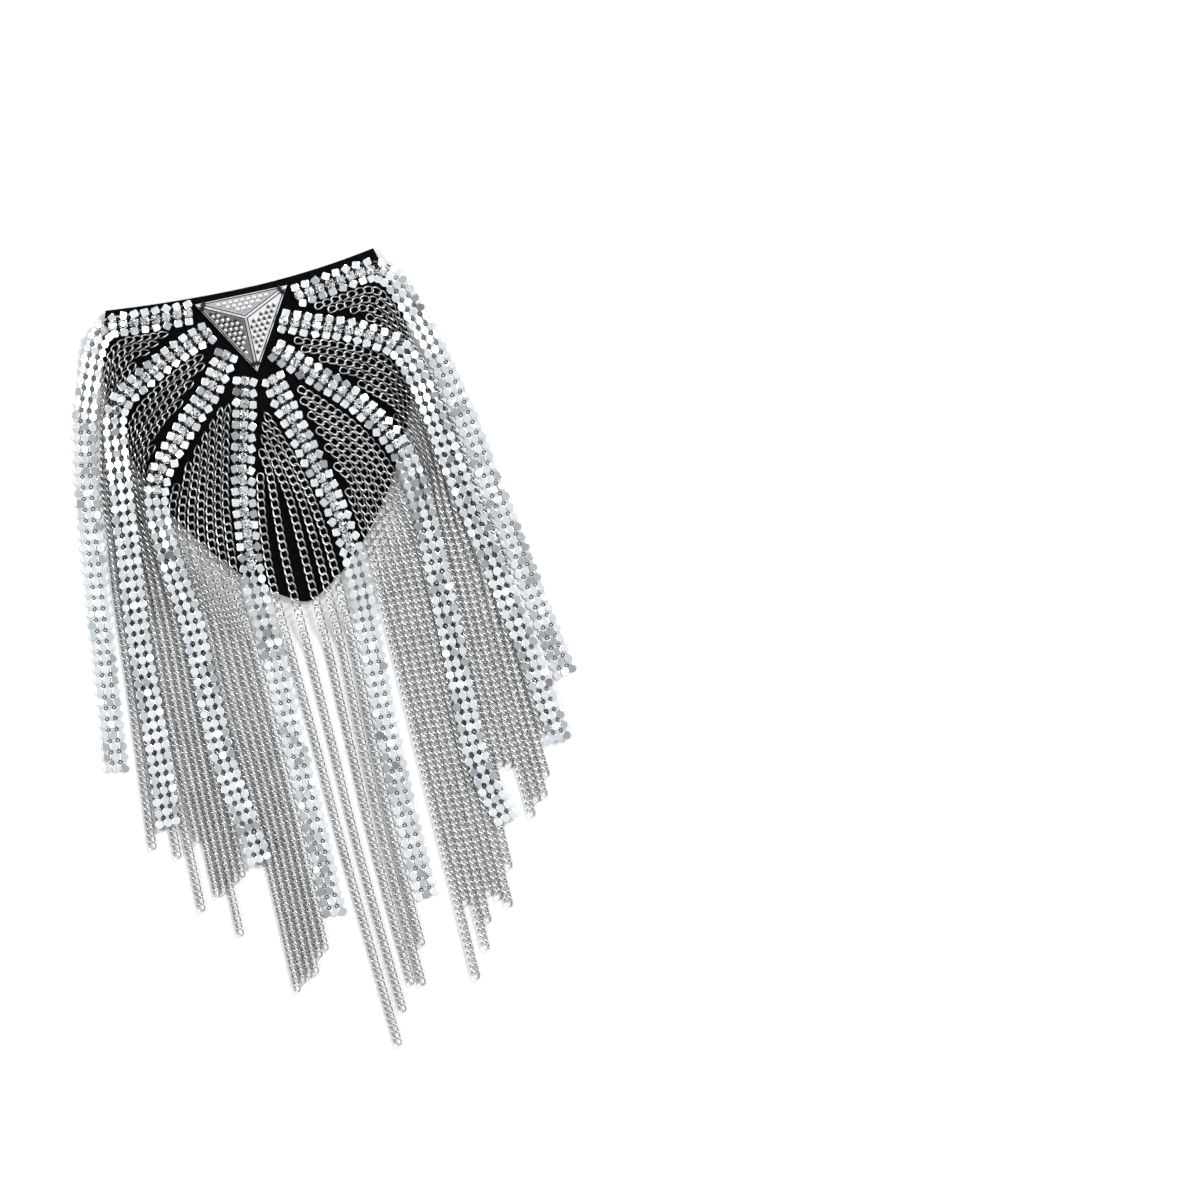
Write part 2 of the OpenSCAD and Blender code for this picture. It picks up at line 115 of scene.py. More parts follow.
class Value:
    """A number in a shader, on which Python's own operators work."""

    def __init__(self, graph: "Graph", socket: bpy.types.NodeSocket) -> None:
        """Keeps the socket and the graph that new nodes go into."""
        self.graph = graph
        self.socket = socket

    def _math(self, operation: str, *operands: "float | Value") -> "Value":
        """Adds a Math node over the operands."""
        return self.graph.node("ShaderNodeMath", {"operation": operation}, dict(enumerate(operands)))

    def __add__(self, other: "float | Value") -> "Value":
        """Adds a number or value."""
        return self._math("ADD", self, other)

    def __radd__(self, other: float) -> "Value":
        """Adds to a number."""
        return self._math("ADD", other, self)

    def __sub__(self, other: "float | Value") -> "Value":
        """Takes a number or value away."""
        return self._math("SUBTRACT", self, other)

    def __rsub__(self, other: float) -> "Value":
        """Is taken away from a number."""
        return self._math("SUBTRACT", other, self)

    def __mul__(self, other: "float | Value") -> "Value":
        """Multiplies by a number or value."""
        return self._math("MULTIPLY", self, other)

    def __rmul__(self, other: float) -> "Value":
        """Multiplies a number."""
        return self._math("MULTIPLY", other, self)

    def __pow__(self, other: "float | Value") -> "Value":
        """Raises to a power."""
        return self._math("POWER", self, other)

    def __rpow__(self, other: float) -> "Value":
        """Is the power to which a number is raised."""
        return self._math("POWER", other, self)

    def clamped(self) -> "Value":
        """Keeps the value between 0 and 1."""
        return self._math("MINIMUM", self._math("MAXIMUM", self, 0.0), 1.0)


Input = "float | Numbers | Value"


class Graph:
    """The node tree of one material or of the world."""

    def __init__(self, tree: bpy.types.NodeTree) -> None:
        """Empties the tree, so that only this script's nodes are in it."""
        self.tree = tree
        tree.nodes.clear()

    def node(
        self,
        kind: str,
        settings: dict[str, object] | None = None,
        inputs: "dict[int | str, Input] | None" = None,
        output: int | str = 0,
    ) -> Value:
        """Adds a node.

        Args:
            kind: The node's type.
            settings: Its own properties, which are set first; "stops" are a ramp's positions and colours.
            inputs: A value, a colour or a link for each input, by name or place.
            output: Which output to hand back.

        Returns:
            The output, as a value.
        """
        made = self.tree.nodes.new(kind)
        for name, setting in (settings or {}).items():
            if name == "stops":
                self._set_stops(made.color_ramp, setting)
            else:
                setattr(made, name, setting)
        for key, given in (inputs or {}).items():
            if isinstance(given, Value):
                self.tree.links.new(given.socket, made.inputs[key])
            elif isinstance(given, (int, float)):
                made.inputs[key].default_value = given
            else:
                made.inputs[key].default_value = tuple(given)
        return Value(self, made.outputs[output] if made.outputs else made.inputs[0])

    @staticmethod
    def _set_stops(ramp: bpy.types.ColorRamp, stops: Sequence[tuple[float, Numbers]]) -> None:
        """Puts a ramp's stops in place, in rising order."""
        while len(ramp.elements) < len(stops):
            ramp.elements.new(1.0)
        for element, (place, colour) in zip(ramp.elements, stops):
            element.position = place
            element.color = (*colour, 1.0)

    def blend(self, share: Value, low: "Numbers | Value", high: "Numbers | Value") -> Value:
        """Mixes two colours.

        Args:
            share: How much of the second colour there is.
            low: The colour at 0.
            high: The colour at 1.

        Returns:
            The mixed colour.
        """
        colours = [(*c, 1.0) if not isinstance(c, Value) else c for c in (low, high)]
        return self.node(
            "ShaderNodeMix", {"data_type": "RGBA"}, {0: share, 6: colours[0], 7: colours[1]}, output=2
        )

    def place(self) -> Value:
        """The place on the object, in metres."""
        return self.node("ShaderNodeTexCoord", output="Object")

    def grain(
        self, scale: float, detail: float = 2.0, stretch: Numbers = (1, 1, 1), rough: float = 0.5
    ) -> Value:
        """Noise over the object.

        Args:
            scale: Features in a metre.
            detail: How many finer layers there are.
            stretch: The scale's factor along each axis.
            rough: How strong the finer layers are.

        Returns:
            The noise, from 0 to 1.
        """
        spot = self.node("ShaderNodeMapping", {}, {"Vector": self.place(), "Scale": stretch})
        return self.node(
            "ShaderNodeTexNoise", {}, {"Vector": spot, "Scale": scale, "Detail": detail, "Roughness": rough}
        )

    def tone(self) -> Value:
        """The tone that a shell has stored in its points."""
        return self.node("ShaderNodeAttribute", {"attribute_name": TONE}, output="Fac")

    def relief(self, height: Value, distance: float, strength: float) -> Value:
        """A normal that is bumped by a height, over a distance in metres."""
        return self.node("ShaderNodeBump", {}, {"Height": height, "Distance": distance, "Strength": strength})

    def surface(self, inputs: "dict[str, Input]") -> None:
        """Ends a material with one principled shader."""
        shader = self.node("ShaderNodeBsdfPrincipled", {}, inputs)
        self.node("ShaderNodeOutputMaterial", {}, {"Surface": shader})


# Finishes


@dataclass(frozen=True)
class Finish:
    """A finish, which knows how to make its material."""

    name: str

    def material(self) -> bpy.types.Material:
        """Makes the material."""
        made = bpy.data.materials.new(self.name)
        made.use_nodes = True
        self.paint(Graph(made.node_tree))
        return made

    def paint(self, graph: Graph) -> None:
        """Fills the material's graph."""
        raise NotImplementedError


@dataclass(frozen=True)
class FeltCloth(Finish):
    """Matt black felt with short matted fibres."""

    dark: tuple[float, ...] = (0.0003, 0.0003, 0.0004)
    pale: tuple[float, ...] = (0.005, 0.005, 0.0055)
    fibre: float = 2600.0
    clump: float = 260.0
    dark_below: float = 0.36
    contrast: float = 3.2

    def paint(self, graph: Graph) -> None:
        """Fills the material's graph."""
        fibres = graph.grain(self.fibre, 3.0, (1, 0.35, 1), 0.6)
        crossing = graph.grain(self.fibre, 3.0, (0.3, 1, 1), 0.6)
        clumps = graph.grain(self.clump)
        mixed = 0.45 * fibres + 0.35 * crossing + 0.2 * clumps
        share = ((mixed - self.dark_below) * self.contrast).clamped()
        graph.surface({
            "Base Color": graph.blend(share, self.dark, self.pale),
            "Roughness": 0.97,
            "Specular IOR Level": 0.03,
            "Sheen Weight": 0.01,
            "Sheen Roughness": 0.6,
            "Normal": graph.relief(mixed, 0.0006, 0.8),
        })


@dataclass(frozen=True)
class Metal(Finish):
    """Plated metal: pale where the tone is 1 and dark where it is 0; the tone holds tarnish and painted
    shade.
    """

    pale: tuple[float, ...] = (0.8, 0.8, 0.81)
    dark: tuple[float, ...] = (0.3, 0.3, 0.31)
    smooth: float = 0.2
    rough: float = 0.4
    grain_scale: float = 900.0
    grain_depth: float = 0.00002
    mottle: float = 0.25
    cloud_size: float = 0.12

    def paint(self, graph: Graph) -> None:
        """Fills the material's graph."""
        grain = graph.grain(self.grain_scale, 3.0, rough=0.6)
        cloud = graph.grain(self.grain_scale * self.cloud_size)
        share = (graph.tone() + (cloud - 0.5) * self.mottle + (grain - 0.5) * self.mottle).clamped()
        graph.surface({
            "Base Color": graph.blend(share, self.dark, self.pale),
            "Metallic": 1.0,
            "Roughness": self.smooth + grain * (self.rough - self.smooth),
            "Normal": graph.relief(grain, self.grain_depth, 0.6),
        })


@dataclass(frozen=True)
class PressedPlate(Finish):
    """Bright pressed aluminium, each plate with a cast of its own."""

    stops: tuple[tuple[float, tuple[float, ...]], ...] = (
        (0.0, (0.27, 0.24, 0.28)),
        (0.08, (0.32, 0.34, 0.36)),
        (0.32, (0.46, 0.49, 0.51)),
        (0.52, (0.75, 0.795, 0.83)),
        (0.85, (0.85, 0.88, 0.905)),
        (1.0, (0.94, 0.945, 0.955)),
    )
    scratch: float = 1400.0
    cloud: float = 500.0
    cloud_depth: float = 0.12

    def paint(self, graph: Graph) -> None:
        """Fills the material's graph."""
        scratches = graph.grain(self.scratch, 3.0, (1, 0.15, 1), 0.6)
        cast = (graph.tone() + (graph.grain(self.cloud) - 0.5) * self.cloud_depth).clamped()
        colour = graph.node("ShaderNodeValToRGB", {"stops": self.stops}, {"Fac": cast})
        graph.surface({
            "Base Color": colour,
            "Metallic": 1.0,
            "Roughness": 0.16 + scratches * 0.2,
            "Normal": graph.relief(scratches, 0.00001, 0.5),
        })


@dataclass(frozen=True)
class CutCrystal(Finish):
    """Clear cut glass on foil, with painted glints: small cells painted from black to white as facet
    reflections.
    """

    index: float = 1.56
    foil: float = 0.82
    painted_glint_scale: float = 1500.0
    own_tone: float = 0.2
    stops: tuple[tuple[float, tuple[float, ...]], ...] = (
        (0.0, (0.05, 0.05, 0.05)),
        (0.2, (0.15, 0.15, 0.15)),
        (0.3, (0.55, 0.55, 0.54)),
        (0.45, (0.82, 0.82, 0.81)),
        (0.55, (1.0, 1.0, 1.0)),
    )

    def paint(self, graph: Graph) -> None:
        """Fills the material's graph."""
        spot = {"Vector": graph.place(), "Scale": self.painted_glint_scale}
        # Painted glints: each small cell gets its own painted brightness, from black to white
        cells = graph.node("ShaderNodeTexVoronoi", {}, spot, "Color")
        painted_glint = (cells + (graph.tone() - 0.5) * self.own_tone).clamped()
        colour = graph.node("ShaderNodeValToRGB", {"stops": self.stops}, {"Fac": painted_glint})
        graph.surface({
            "Base Color": colour,
            "Roughness": 0.02 + cells * 0.05,
            "IOR": self.index,
            "Metallic": self.foil,
            "Transmission Weight": 0.85,
            "Specular IOR Level": 0.7,
        })


@dataclass(frozen=True)
class Thread(Finish):
    """Black sewing thread with a fine twist."""

    dark: tuple[float, ...] = (0.002, 0.002, 0.002)
    pale: tuple[float, ...] = (0.012, 0.012, 0.013)
    twist: float = 2200.0

    def paint(self, graph: Graph) -> None:
        """Fills the material's graph."""
        strands = graph.grain(self.twist, 1.0, (1, 1, 0.4))
        graph.surface({
            "Base Color": graph.blend(strands, self.dark, self.pale),
            "Roughness": 0.7,
            "Normal": graph.relief(strands, 0.0001, 0.7),
        })


@dataclass(frozen=True)
class Paper(Finish):
    """Plain white paper for the floor."""

    white: float = 0.86
    shade: float = 0.99
    tooth: float = 900.0

    def paint(self, graph: Graph) -> None:
        """Fills the material's graph."""
        tooth = graph.grain(self.tooth, 3.0)
        graph.surface({
            "Base Color": graph.blend(tooth, (self.white * self.shade,) * 3, (self.white,) * 3),
            "Roughness": 0.95,
            "Specular IOR Level": 0.1,
        })


FELT = FeltCloth("black_felt")
THREAD = Thread("black_thread")
CHAIN_WIRE = Metal("plated_chain", (0.82, 0.82, 0.82), (0.03, 0.03, 0.031), 0.2, 0.38, 1500.0, mottle=0.12)
BRIGHT_CUP = Metal("bright_cup", (0.9, 0.9, 0.91), (0.45, 0.45, 0.46), 0.12, 0.28, 1500.0)
RING_WIRE = Metal("ring_wire", (0.8, 0.81, 0.82), (0.05, 0.05, 0.052), 0.2, 0.35, 1500.0)
ANTIQUE = Metal("antique_silver", (0.92, 0.92, 0.93), (0.05, 0.05, 0.052), 0.18, 0.42, 700.0, 0.00003, 0.1)
NICKEL = Metal("nickel_steel", (0.72, 0.72, 0.73), (0.35, 0.35, 0.36), 0.18, 0.36, 900.0)
PLATE = PressedPlate("pressed_plate")
CRYSTAL = CutCrystal("cut_crystal")
PAPER = Paper("white_paper")


# Shells


class Shell:
    """The points and faces of one piece, with the finish and tone of each part of it."""

    def __init__(self, *finishes: Finish) -> None:
        """Starts empty, with the finishes that its parts choose from."""
        self.finishes = finishes
        self.points: list[np.ndarray] = []
        self.tones: list[np.ndarray] = []
        self.faces: list[tuple[int, ...]] = []
        self.choices: list[int] = []
        self.smooth: list[bool] = []
        self.count = 0

    def add(
        self,
        points: np.ndarray,
        faces: Sequence[Sequence[int]],
        finish: Finish | None = None,
        tone: "float | np.ndarray" = 1.0,
        smooth: bool = False,
    ) -> None:
        """Adds one part.

        Args:
            points: Its points, in the drawing's frame.
            faces: Its faces, as places among those points.
            finish: One of the shell's finishes, or its first.
            tone: The tone of the whole part or of each point.
            smooth: Whether its faces are shaded smooth.
        """
        points = np.asarray(points, float).reshape(-1, 3)
        self.points.append(points)
        self.tones.append(np.broadcast_to(np.asarray(tone, float), (len(points),)))
        self.faces.extend(tuple(int(i) + self.count for i in face) for face in faces)
        self.choices.extend([self.finishes.index(finish or self.finishes[0])] * len(faces))
        self.smooth.extend([smooth] * len(faces))
        self.count += len(points)

    def repeat(
        self,
        points: np.ndarray,
        faces: Sequence[Sequence[int]],
        frames: np.ndarray,
        places: np.ndarray,
        finish: Finish | None = None,
        tones: "float | np.ndarray" = 1.0,
        shades: "float | np.ndarray" = 1.0,
        smooth: bool = False,
    ) -> None:
        """Adds one part many times.

        Args:
            points: The part's points about its own middle.
            faces: Its faces.
            frames: For each copy, the directions of its three axes, as rows.
            places: Where each copy's middle goes.
            finish: One of the shell's finishes, or its first.
            tones: A tone for each copy.
            shades: A factor on it for each point of the part.
            smooth: Whether its faces are shaded smooth.
        """
        moved = np.einsum("pk,nkj->npj", points, frames) + places[:, None, :]
        step = len(points)
        whole = [[i + n * step for i in face] for n in range(len(places)) for face in faces]
        copies = np.broadcast_to(np.asarray(tones, float), (len(places),))
        each = copies[:, None] * np.broadcast_to(np.asarray(shades, float), (step,))
        self.add(moved.reshape(-1, 3), whole, finish, each.reshape(-1), smooth)

    def piece(self, name: str, nodes: Sequence[str] = ()) -> bpy.types.Object:
        """Makes the object, which rides on the part's one body.

        Args:
            name: The piece's name.
            nodes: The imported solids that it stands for.

        Returns:
            The object.
        """
        mesh = bpy.data.meshes.new(name)
        points = (np.concatenate(self.points) - MIDDLE) * MILLIMETRE
        mesh.from_pydata(points.tolist(), [], self.faces)
        for finish in self.finishes:
            mesh.materials.append(Wardrobe.material(finish))
        mesh.polygons.foreach_set("material_index", self.choices)
        mesh.polygons.foreach_set("use_smooth", self.smooth)
        layer = mesh.attributes.new(TONE, "FLOAT", "POINT")
        layer.data.foreach_set("value", np.concatenate(self.tones).astype(np.float32))
        mesh.validate()
        mesh.update()
        made = placed(name, mesh)
        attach(made, BODY)
        if nodes:
            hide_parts(*nodes)
        LOG.info("%s: %d faces, stands for %s", name, len(self.faces), ", ".join(nodes) or "nothing")
        return made


class Wardrobe:
    """Keeps one material for each finish."""

    _made: dict[str, bpy.types.Material] = {}

    @classmethod
    def material(cls, finish: Finish) -> bpy.types.Material:
        """The finish's material, made when it is first asked for."""
        if finish.name not in cls._made:
            cls._made[finish.name] = finish.material()
        return cls._made[finish.name]


def placed(name: str, data: bpy.types.ID) -> bpy.types.Object:
    """Puts an object that shows some data into the scene."""
    made = bpy.data.objects.new(name, data)
    bpy.context.scene.collection.objects.link(made)
    return made


def unit(vectors: np.ndarray) -> np.ndarray:
    """Vectors of length 1 along the last axis."""
    return vectors / np.maximum(np.linalg.norm(vectors, axis=-1, keepdims=True), 1e-9)


def turned(frames: np.ndarray, turn: np.ndarray) -> np.ndarray:
    """Frames that are turned about their third axis."""
    cos, sin = np.cos(turn)[:, None], np.sin(turn)[:, None]
    along = frames[:, 0] * cos + frames[:, 1] * sin
    return np.stack([along, np.cross(frames[:, 2], along), frames[:, 2]], axis=1)


def tipped(frames: np.ndarray, lean: np.ndarray) -> np.ndarray:
    """Frames that are tipped a little towards their first two axes."""
    along, across, up = frames[:, 0], frames[:, 1], frames[:, 2]
    up = unit(up + along * lean[:, :1] + across * lean[:, 1:])
    along = unit(along - up * np.sum(along * up, axis=1, keepdims=True))
    return np.stack([along, np.cross(up, along), up], axis=1)


def walls(rings: int, sides: int, closed: bool = False) -> list[tuple[int, ...]]:
    """The faces between each ring of points and the next, and back to the first ring if closed."""
    faces = []
    for i in range(rings if closed else rings - 1):
        a, b = i * sides, (i + 1) % rings * sides
        faces += [(a + j, a + (j + 1) % sides, b + (j + 1) % sides, b + j) for j in range(sides)]
    return faces


def caps(rings: int, sides: int) -> list[tuple[int, ...]]:
    """The faces that close the first and the last ring of points."""
    return [tuple(range(sides))[::-1], tuple((rings - 1) * sides + j for j in range(sides))]


def tube(path: np.ndarray, radius: "float | np.ndarray", sides: int, closed: bool = False) -> Mesh:
    """A round wire along a path.

    Args:
        path: The points of its centreline.
        radius: The wire's radius, or one for each point.
        sides: How many sides it has.
        closed: Whether it runs back into itself.

    Returns:
        Its points and its faces.
    """
    count = len(path)
    ahead = np.roll(path, -1, axis=0) - np.roll(path, 1, axis=0)
    if not closed:
        ahead[0], ahead[-1] = path[1] - path[0], path[-1] - path[-2]
    ahead = unit(ahead)
    across = np.cross(ahead, UP)
    upright = np.linalg.norm(across, axis=1) < 0.05
    across[upright] = np.cross(ahead[upright], [1.0, 0.0, 0.0])
    across = unit(across)
    up = np.cross(across, ahead)
    turn = (np.arange(sides) * 2 * math.pi / sides)[None, :, None]
    rim = np.cos(turn) * across[:, None, :] + np.sin(turn) * up[:, None, :]
    size = np.broadcast_to(np.asarray(radius, float), (count,))
    points = path[:, None, :] + rim * size[:, None, None]
    faces = walls(count, sides, closed) + ([] if closed else caps(count, sides))
    return points.reshape(-1, 3), faces


def stack(rings: Sequence[np.ndarray]) -> Mesh:
    """A closed solid through rings of equal numbers of points, from the bottom up.

    Args:
        rings: The rings, each anticlockwise from above.

    Returns:
        Its points and its faces.
    """
    size = len(rings), len(rings[0])
    return np.concatenate(rings), caps(*size) + walls(*size)


def raised(plan: np.ndarray, height: float) -> np.ndarray:
    """The points of a level outline at a height."""
    return np.column_stack([plan, np.full(len(plan), height)])


def ring(radius: float, height: float, sides: int, phase: float = 0.0) -> np.ndarray:
    """A level ring of points round the middle."""
    turn = (np.arange(sides) + phase) * 2 * math.pi / sides
    return raised(np.stack([radius * np.cos(turn), radius * np.sin(turn)], axis=1), height)


def cut_square(a: float, b: float, cut: float) -> np.ndarray:
    """The outline of an oblong with cut corners, from half its length, half its width and the cut."""
    return np.array([
        (a, -b + cut), (a, b - cut), (a - cut, b), (-a + cut, b),
        (-a, b - cut), (-a, -b + cut), (-a + cut, -b), (a - cut, -b),
    ])


# The lie of the part


@dataclass(frozen=True)
class Dome:
    """The pad's dome, and the height on which chains and bands lie over and past it."""

    crown: float = 7.0
    felt: float = 2.5
    felt_gap: float = 0.45
    mid: float = 0.5
    top: float = 2.0
    half_width: float = 55.5
    length: float = 113.0
    flat_reach: float = 0.125
    rim_reach: float = 1.09
    foot_reach: float = 1.38

    def reach(self, plan: np.ndarray) -> np.ndarray:
        """How far out places are: 0 at the ellipse's centre and 1 on the ellipse."""
        x, y = plan[..., 0], plan[..., 1]
        return ((x - self.mid) / self.half_width) ** 2 + ((y - self.top) / self.length) ** 2

    def under(self, plan: np.ndarray) -> np.ndarray:
        """Height of the felt's underside."""
        return self.crown * np.clip((1 - self.reach(plan)) / (1 - self.flat_reach), 0, 1)

    def drape(self, plan: np.ndarray) -> np.ndarray:
        """Height on which a chain or band lies."""
        reach = self.reach(plan)
        lift = self.felt + self.felt_gap
        slope = lift * np.clip((self.foot_reach - reach) / (self.foot_reach - self.rim_reach), 0, 1)
        return np.where(reach < self.rim_reach, self.under(plan) + lift, slope)


DOME = Dome()


@dataclass
class Route:
    """A smooth curve through given points. A place on it is counted in points from its start."""

    rows: Sequence[Numbers]
    step: float = 0.02
    near: float = 0.05

    def __post_init__(self) -> None:
        """Keeps the rows as an array."""
        self.knots = np.array(self.rows, float)

    @property
    def last(self) -> int:
        """The last point's place."""
        return len(self.knots) - 1

    @property
    def places(self) -> np.ndarray:
        """Places all along the route, a small step apart."""
        return np.arange(0, self.last + 1e-9, self.step)

    def at(self, place: np.ndarray) -> np.ndarray:
        """The route's points at places."""
        place = np.asarray(place, float)
        i = np.clip(np.floor(place).astype(int), 0, self.last - 1)
        t = (place - i)[..., None]
        a, b = self.knots[np.maximum(i - 1, 0)], self.knots[i]
        c, d = self.knots[i + 1], self.knots[np.minimum(i + 2, self.last)]
        return (2 * b + (c - a) * t + (2 * a - 5 * b + 4 * c - d) * t**2 + (3 * b - a - 3 * c + d) * t**3) / 2

    def run(self, place: np.ndarray) -> np.ndarray:
        """The level direction of the route at places."""
        return unit((self.at(place + self.near) - self.at(place - self.near))[..., :2])


def distances(path: np.ndarray) -> np.ndarray:
    """How far along a closely sampled path each of its samples is."""
    return np.concatenate([[0.0], np.cumsum(np.linalg.norm(np.diff(path, axis=0), axis=1))])


def picked(values: np.ndarray, places: np.ndarray) -> np.ndarray:
    """A path's values at places that are counted in its samples."""
    return np.stack([np.interp(places, np.arange(len(values)), column) for column in values.T], axis=1)


def headings(points: np.ndarray) -> np.ndarray:
    """The direction of a line of points at each of them, from the one before to the one after."""
    places = np.arange(points.shape[-2])
    before, after = np.maximum(places - 1, 0), np.minimum(places + 1, places[-1])
    return unit(points[..., after, :] - points[..., before, :])


def breadth(across: np.ndarray, run: np.ndarray) -> np.ndarray:
    """How far level vectors reach to the side of a direction."""
    return np.abs(across[:, 0] * run[:, 1] - across[:, 1] * run[:, 0])


# Felt pad


@dataclass
class FeltPad:
    """The domed felt pad that everything is sewn to."""

    rows: Sequence[Numbers] = (
        (-9, 53.5), (-18, 55), (-27, 55.5), (-37, 54.5), (-46, 52), (-55, 49.5), (-64, 45.5),
        (-73, 41), (-82, 35), (-90, 29), (-98, 22), (-104, 15.5), (-109, 8.5),
    )
    top_half: float = 49.5
    tip: float = -113.0
    rise_left: float = 2.5
    rise_right: float = 4.5
    rings: int = 40
    round_samples: int = 6
    nap: float = 0.07
    wave_scale: float = 0.12
    fuzz_scale: float = 1.1
    least_height: float = 0.02
    edge: float = 0.45
    edge_angle: float = 50.0

    def outline(self) -> np.ndarray:
        """The outline from the right corner round the tip to the left corner, smoothed."""
        mid, top = DOME.mid, DOME.top
        route = Route([
            (mid + self.top_half, top + self.rise_right),
            *((mid + half, y) for y, half in self.rows),
            (mid, self.tip),
            *((mid - half, y) for y, half in reversed(self.rows)),
            (mid - self.top_half, top + self.rise_left),
        ])
        return route.at(np.linspace(0, route.last, route.last * self.round_samples + 1))

    def level(self, share: float, outline: np.ndarray) -> np.ndarray:
        """A ring of the pad at a share of the way out, with a top that is flatter nearer the middle."""
        up = outline[:, 1] - DOME.top
        y = DOME.top + up * np.where(up > 0, share * share, share)
        return np.stack([DOME.mid + (outline[:, 0] - DOME.mid) * share, y], axis=1)

    def build(self) -> None:
        """Makes the pad."""
        outline = self.outline()
        shares = np.linspace(0, 1, self.rings + 1)[1:]
        plan = np.concatenate([[[DOME.mid, DOME.top]]] + [self.level(share, outline) for share in shares])
        height = DOME.under(plan)
        wave = self._unevenness(plan, self.wave_scale, 0.0)
        fuzz = self._unevenness(plan, self.fuzz_scale, 4.0)
        upper = np.column_stack([plan, height + DOME.felt + self.nap * (0.5 * wave + fuzz)])
        lower = np.column_stack([plan, np.maximum(height + self.nap * 0.5 * fuzz, self.least_height)])
        shell = Shell(FELT)
        shell.add(np.concatenate([upper, lower]), self._faces(len(outline), len(plan)), smooth=True)
        pad = shell.piece("felt_pad", ["backing"])
        self._round_edge(pad)

    @staticmethod
    def _unevenness(plan: np.ndarray, scale: float, level: float) -> np.ndarray:
        """Noise over the pad, at a level of the noise's own."""
        return np.array([noise.noise((x * scale, y * scale, level)) for x, y in plan])

    def _faces(self, count: int, total: int) -> list[tuple[int, ...]]:
        """The faces of the pad's two sides and of its edge.

        Args:
            count: How many points each ring has.
            total: How many points each side has.

        Returns:
            The faces.
        """
        sheet = [(0, 1 + j, 2 + j) for j in range(count - 1)]
        for r in range(self.rings - 1):
            for j in range(count - 1):
                a = 1 + r * count + j
                sheet.append((a, a + count, a + count + 1, a + 1))
        edge = [1 + (self.rings - 1) * count + j for j in range(count)]
        edge += [(r + 1) * count for r in range(self.rings - 2, -1, -1)]
        edge += [0] + [1 + r * count for r in range(self.rings - 1)]
        faces = sheet + [tuple(i + total for i in reversed(face)) for face in sheet]
        return faces + [(b, a, a + total, b + total) for a, b in zip(edge, edge[1:] + edge[:1])]

    def _round_edge(self, pad: bpy.types.Object) -> None:
        """Softens the cut edge."""
        bevel = pad.modifiers.new("soft_edge", "BEVEL")
        bevel.width = self.edge * MILLIMETRE
        bevel.segments = 2
        bevel.limit_method = "ANGLE"
        bevel.angle_limit = math.radians(self.edge_angle)
        bevel.harden_normals = False


# Chains

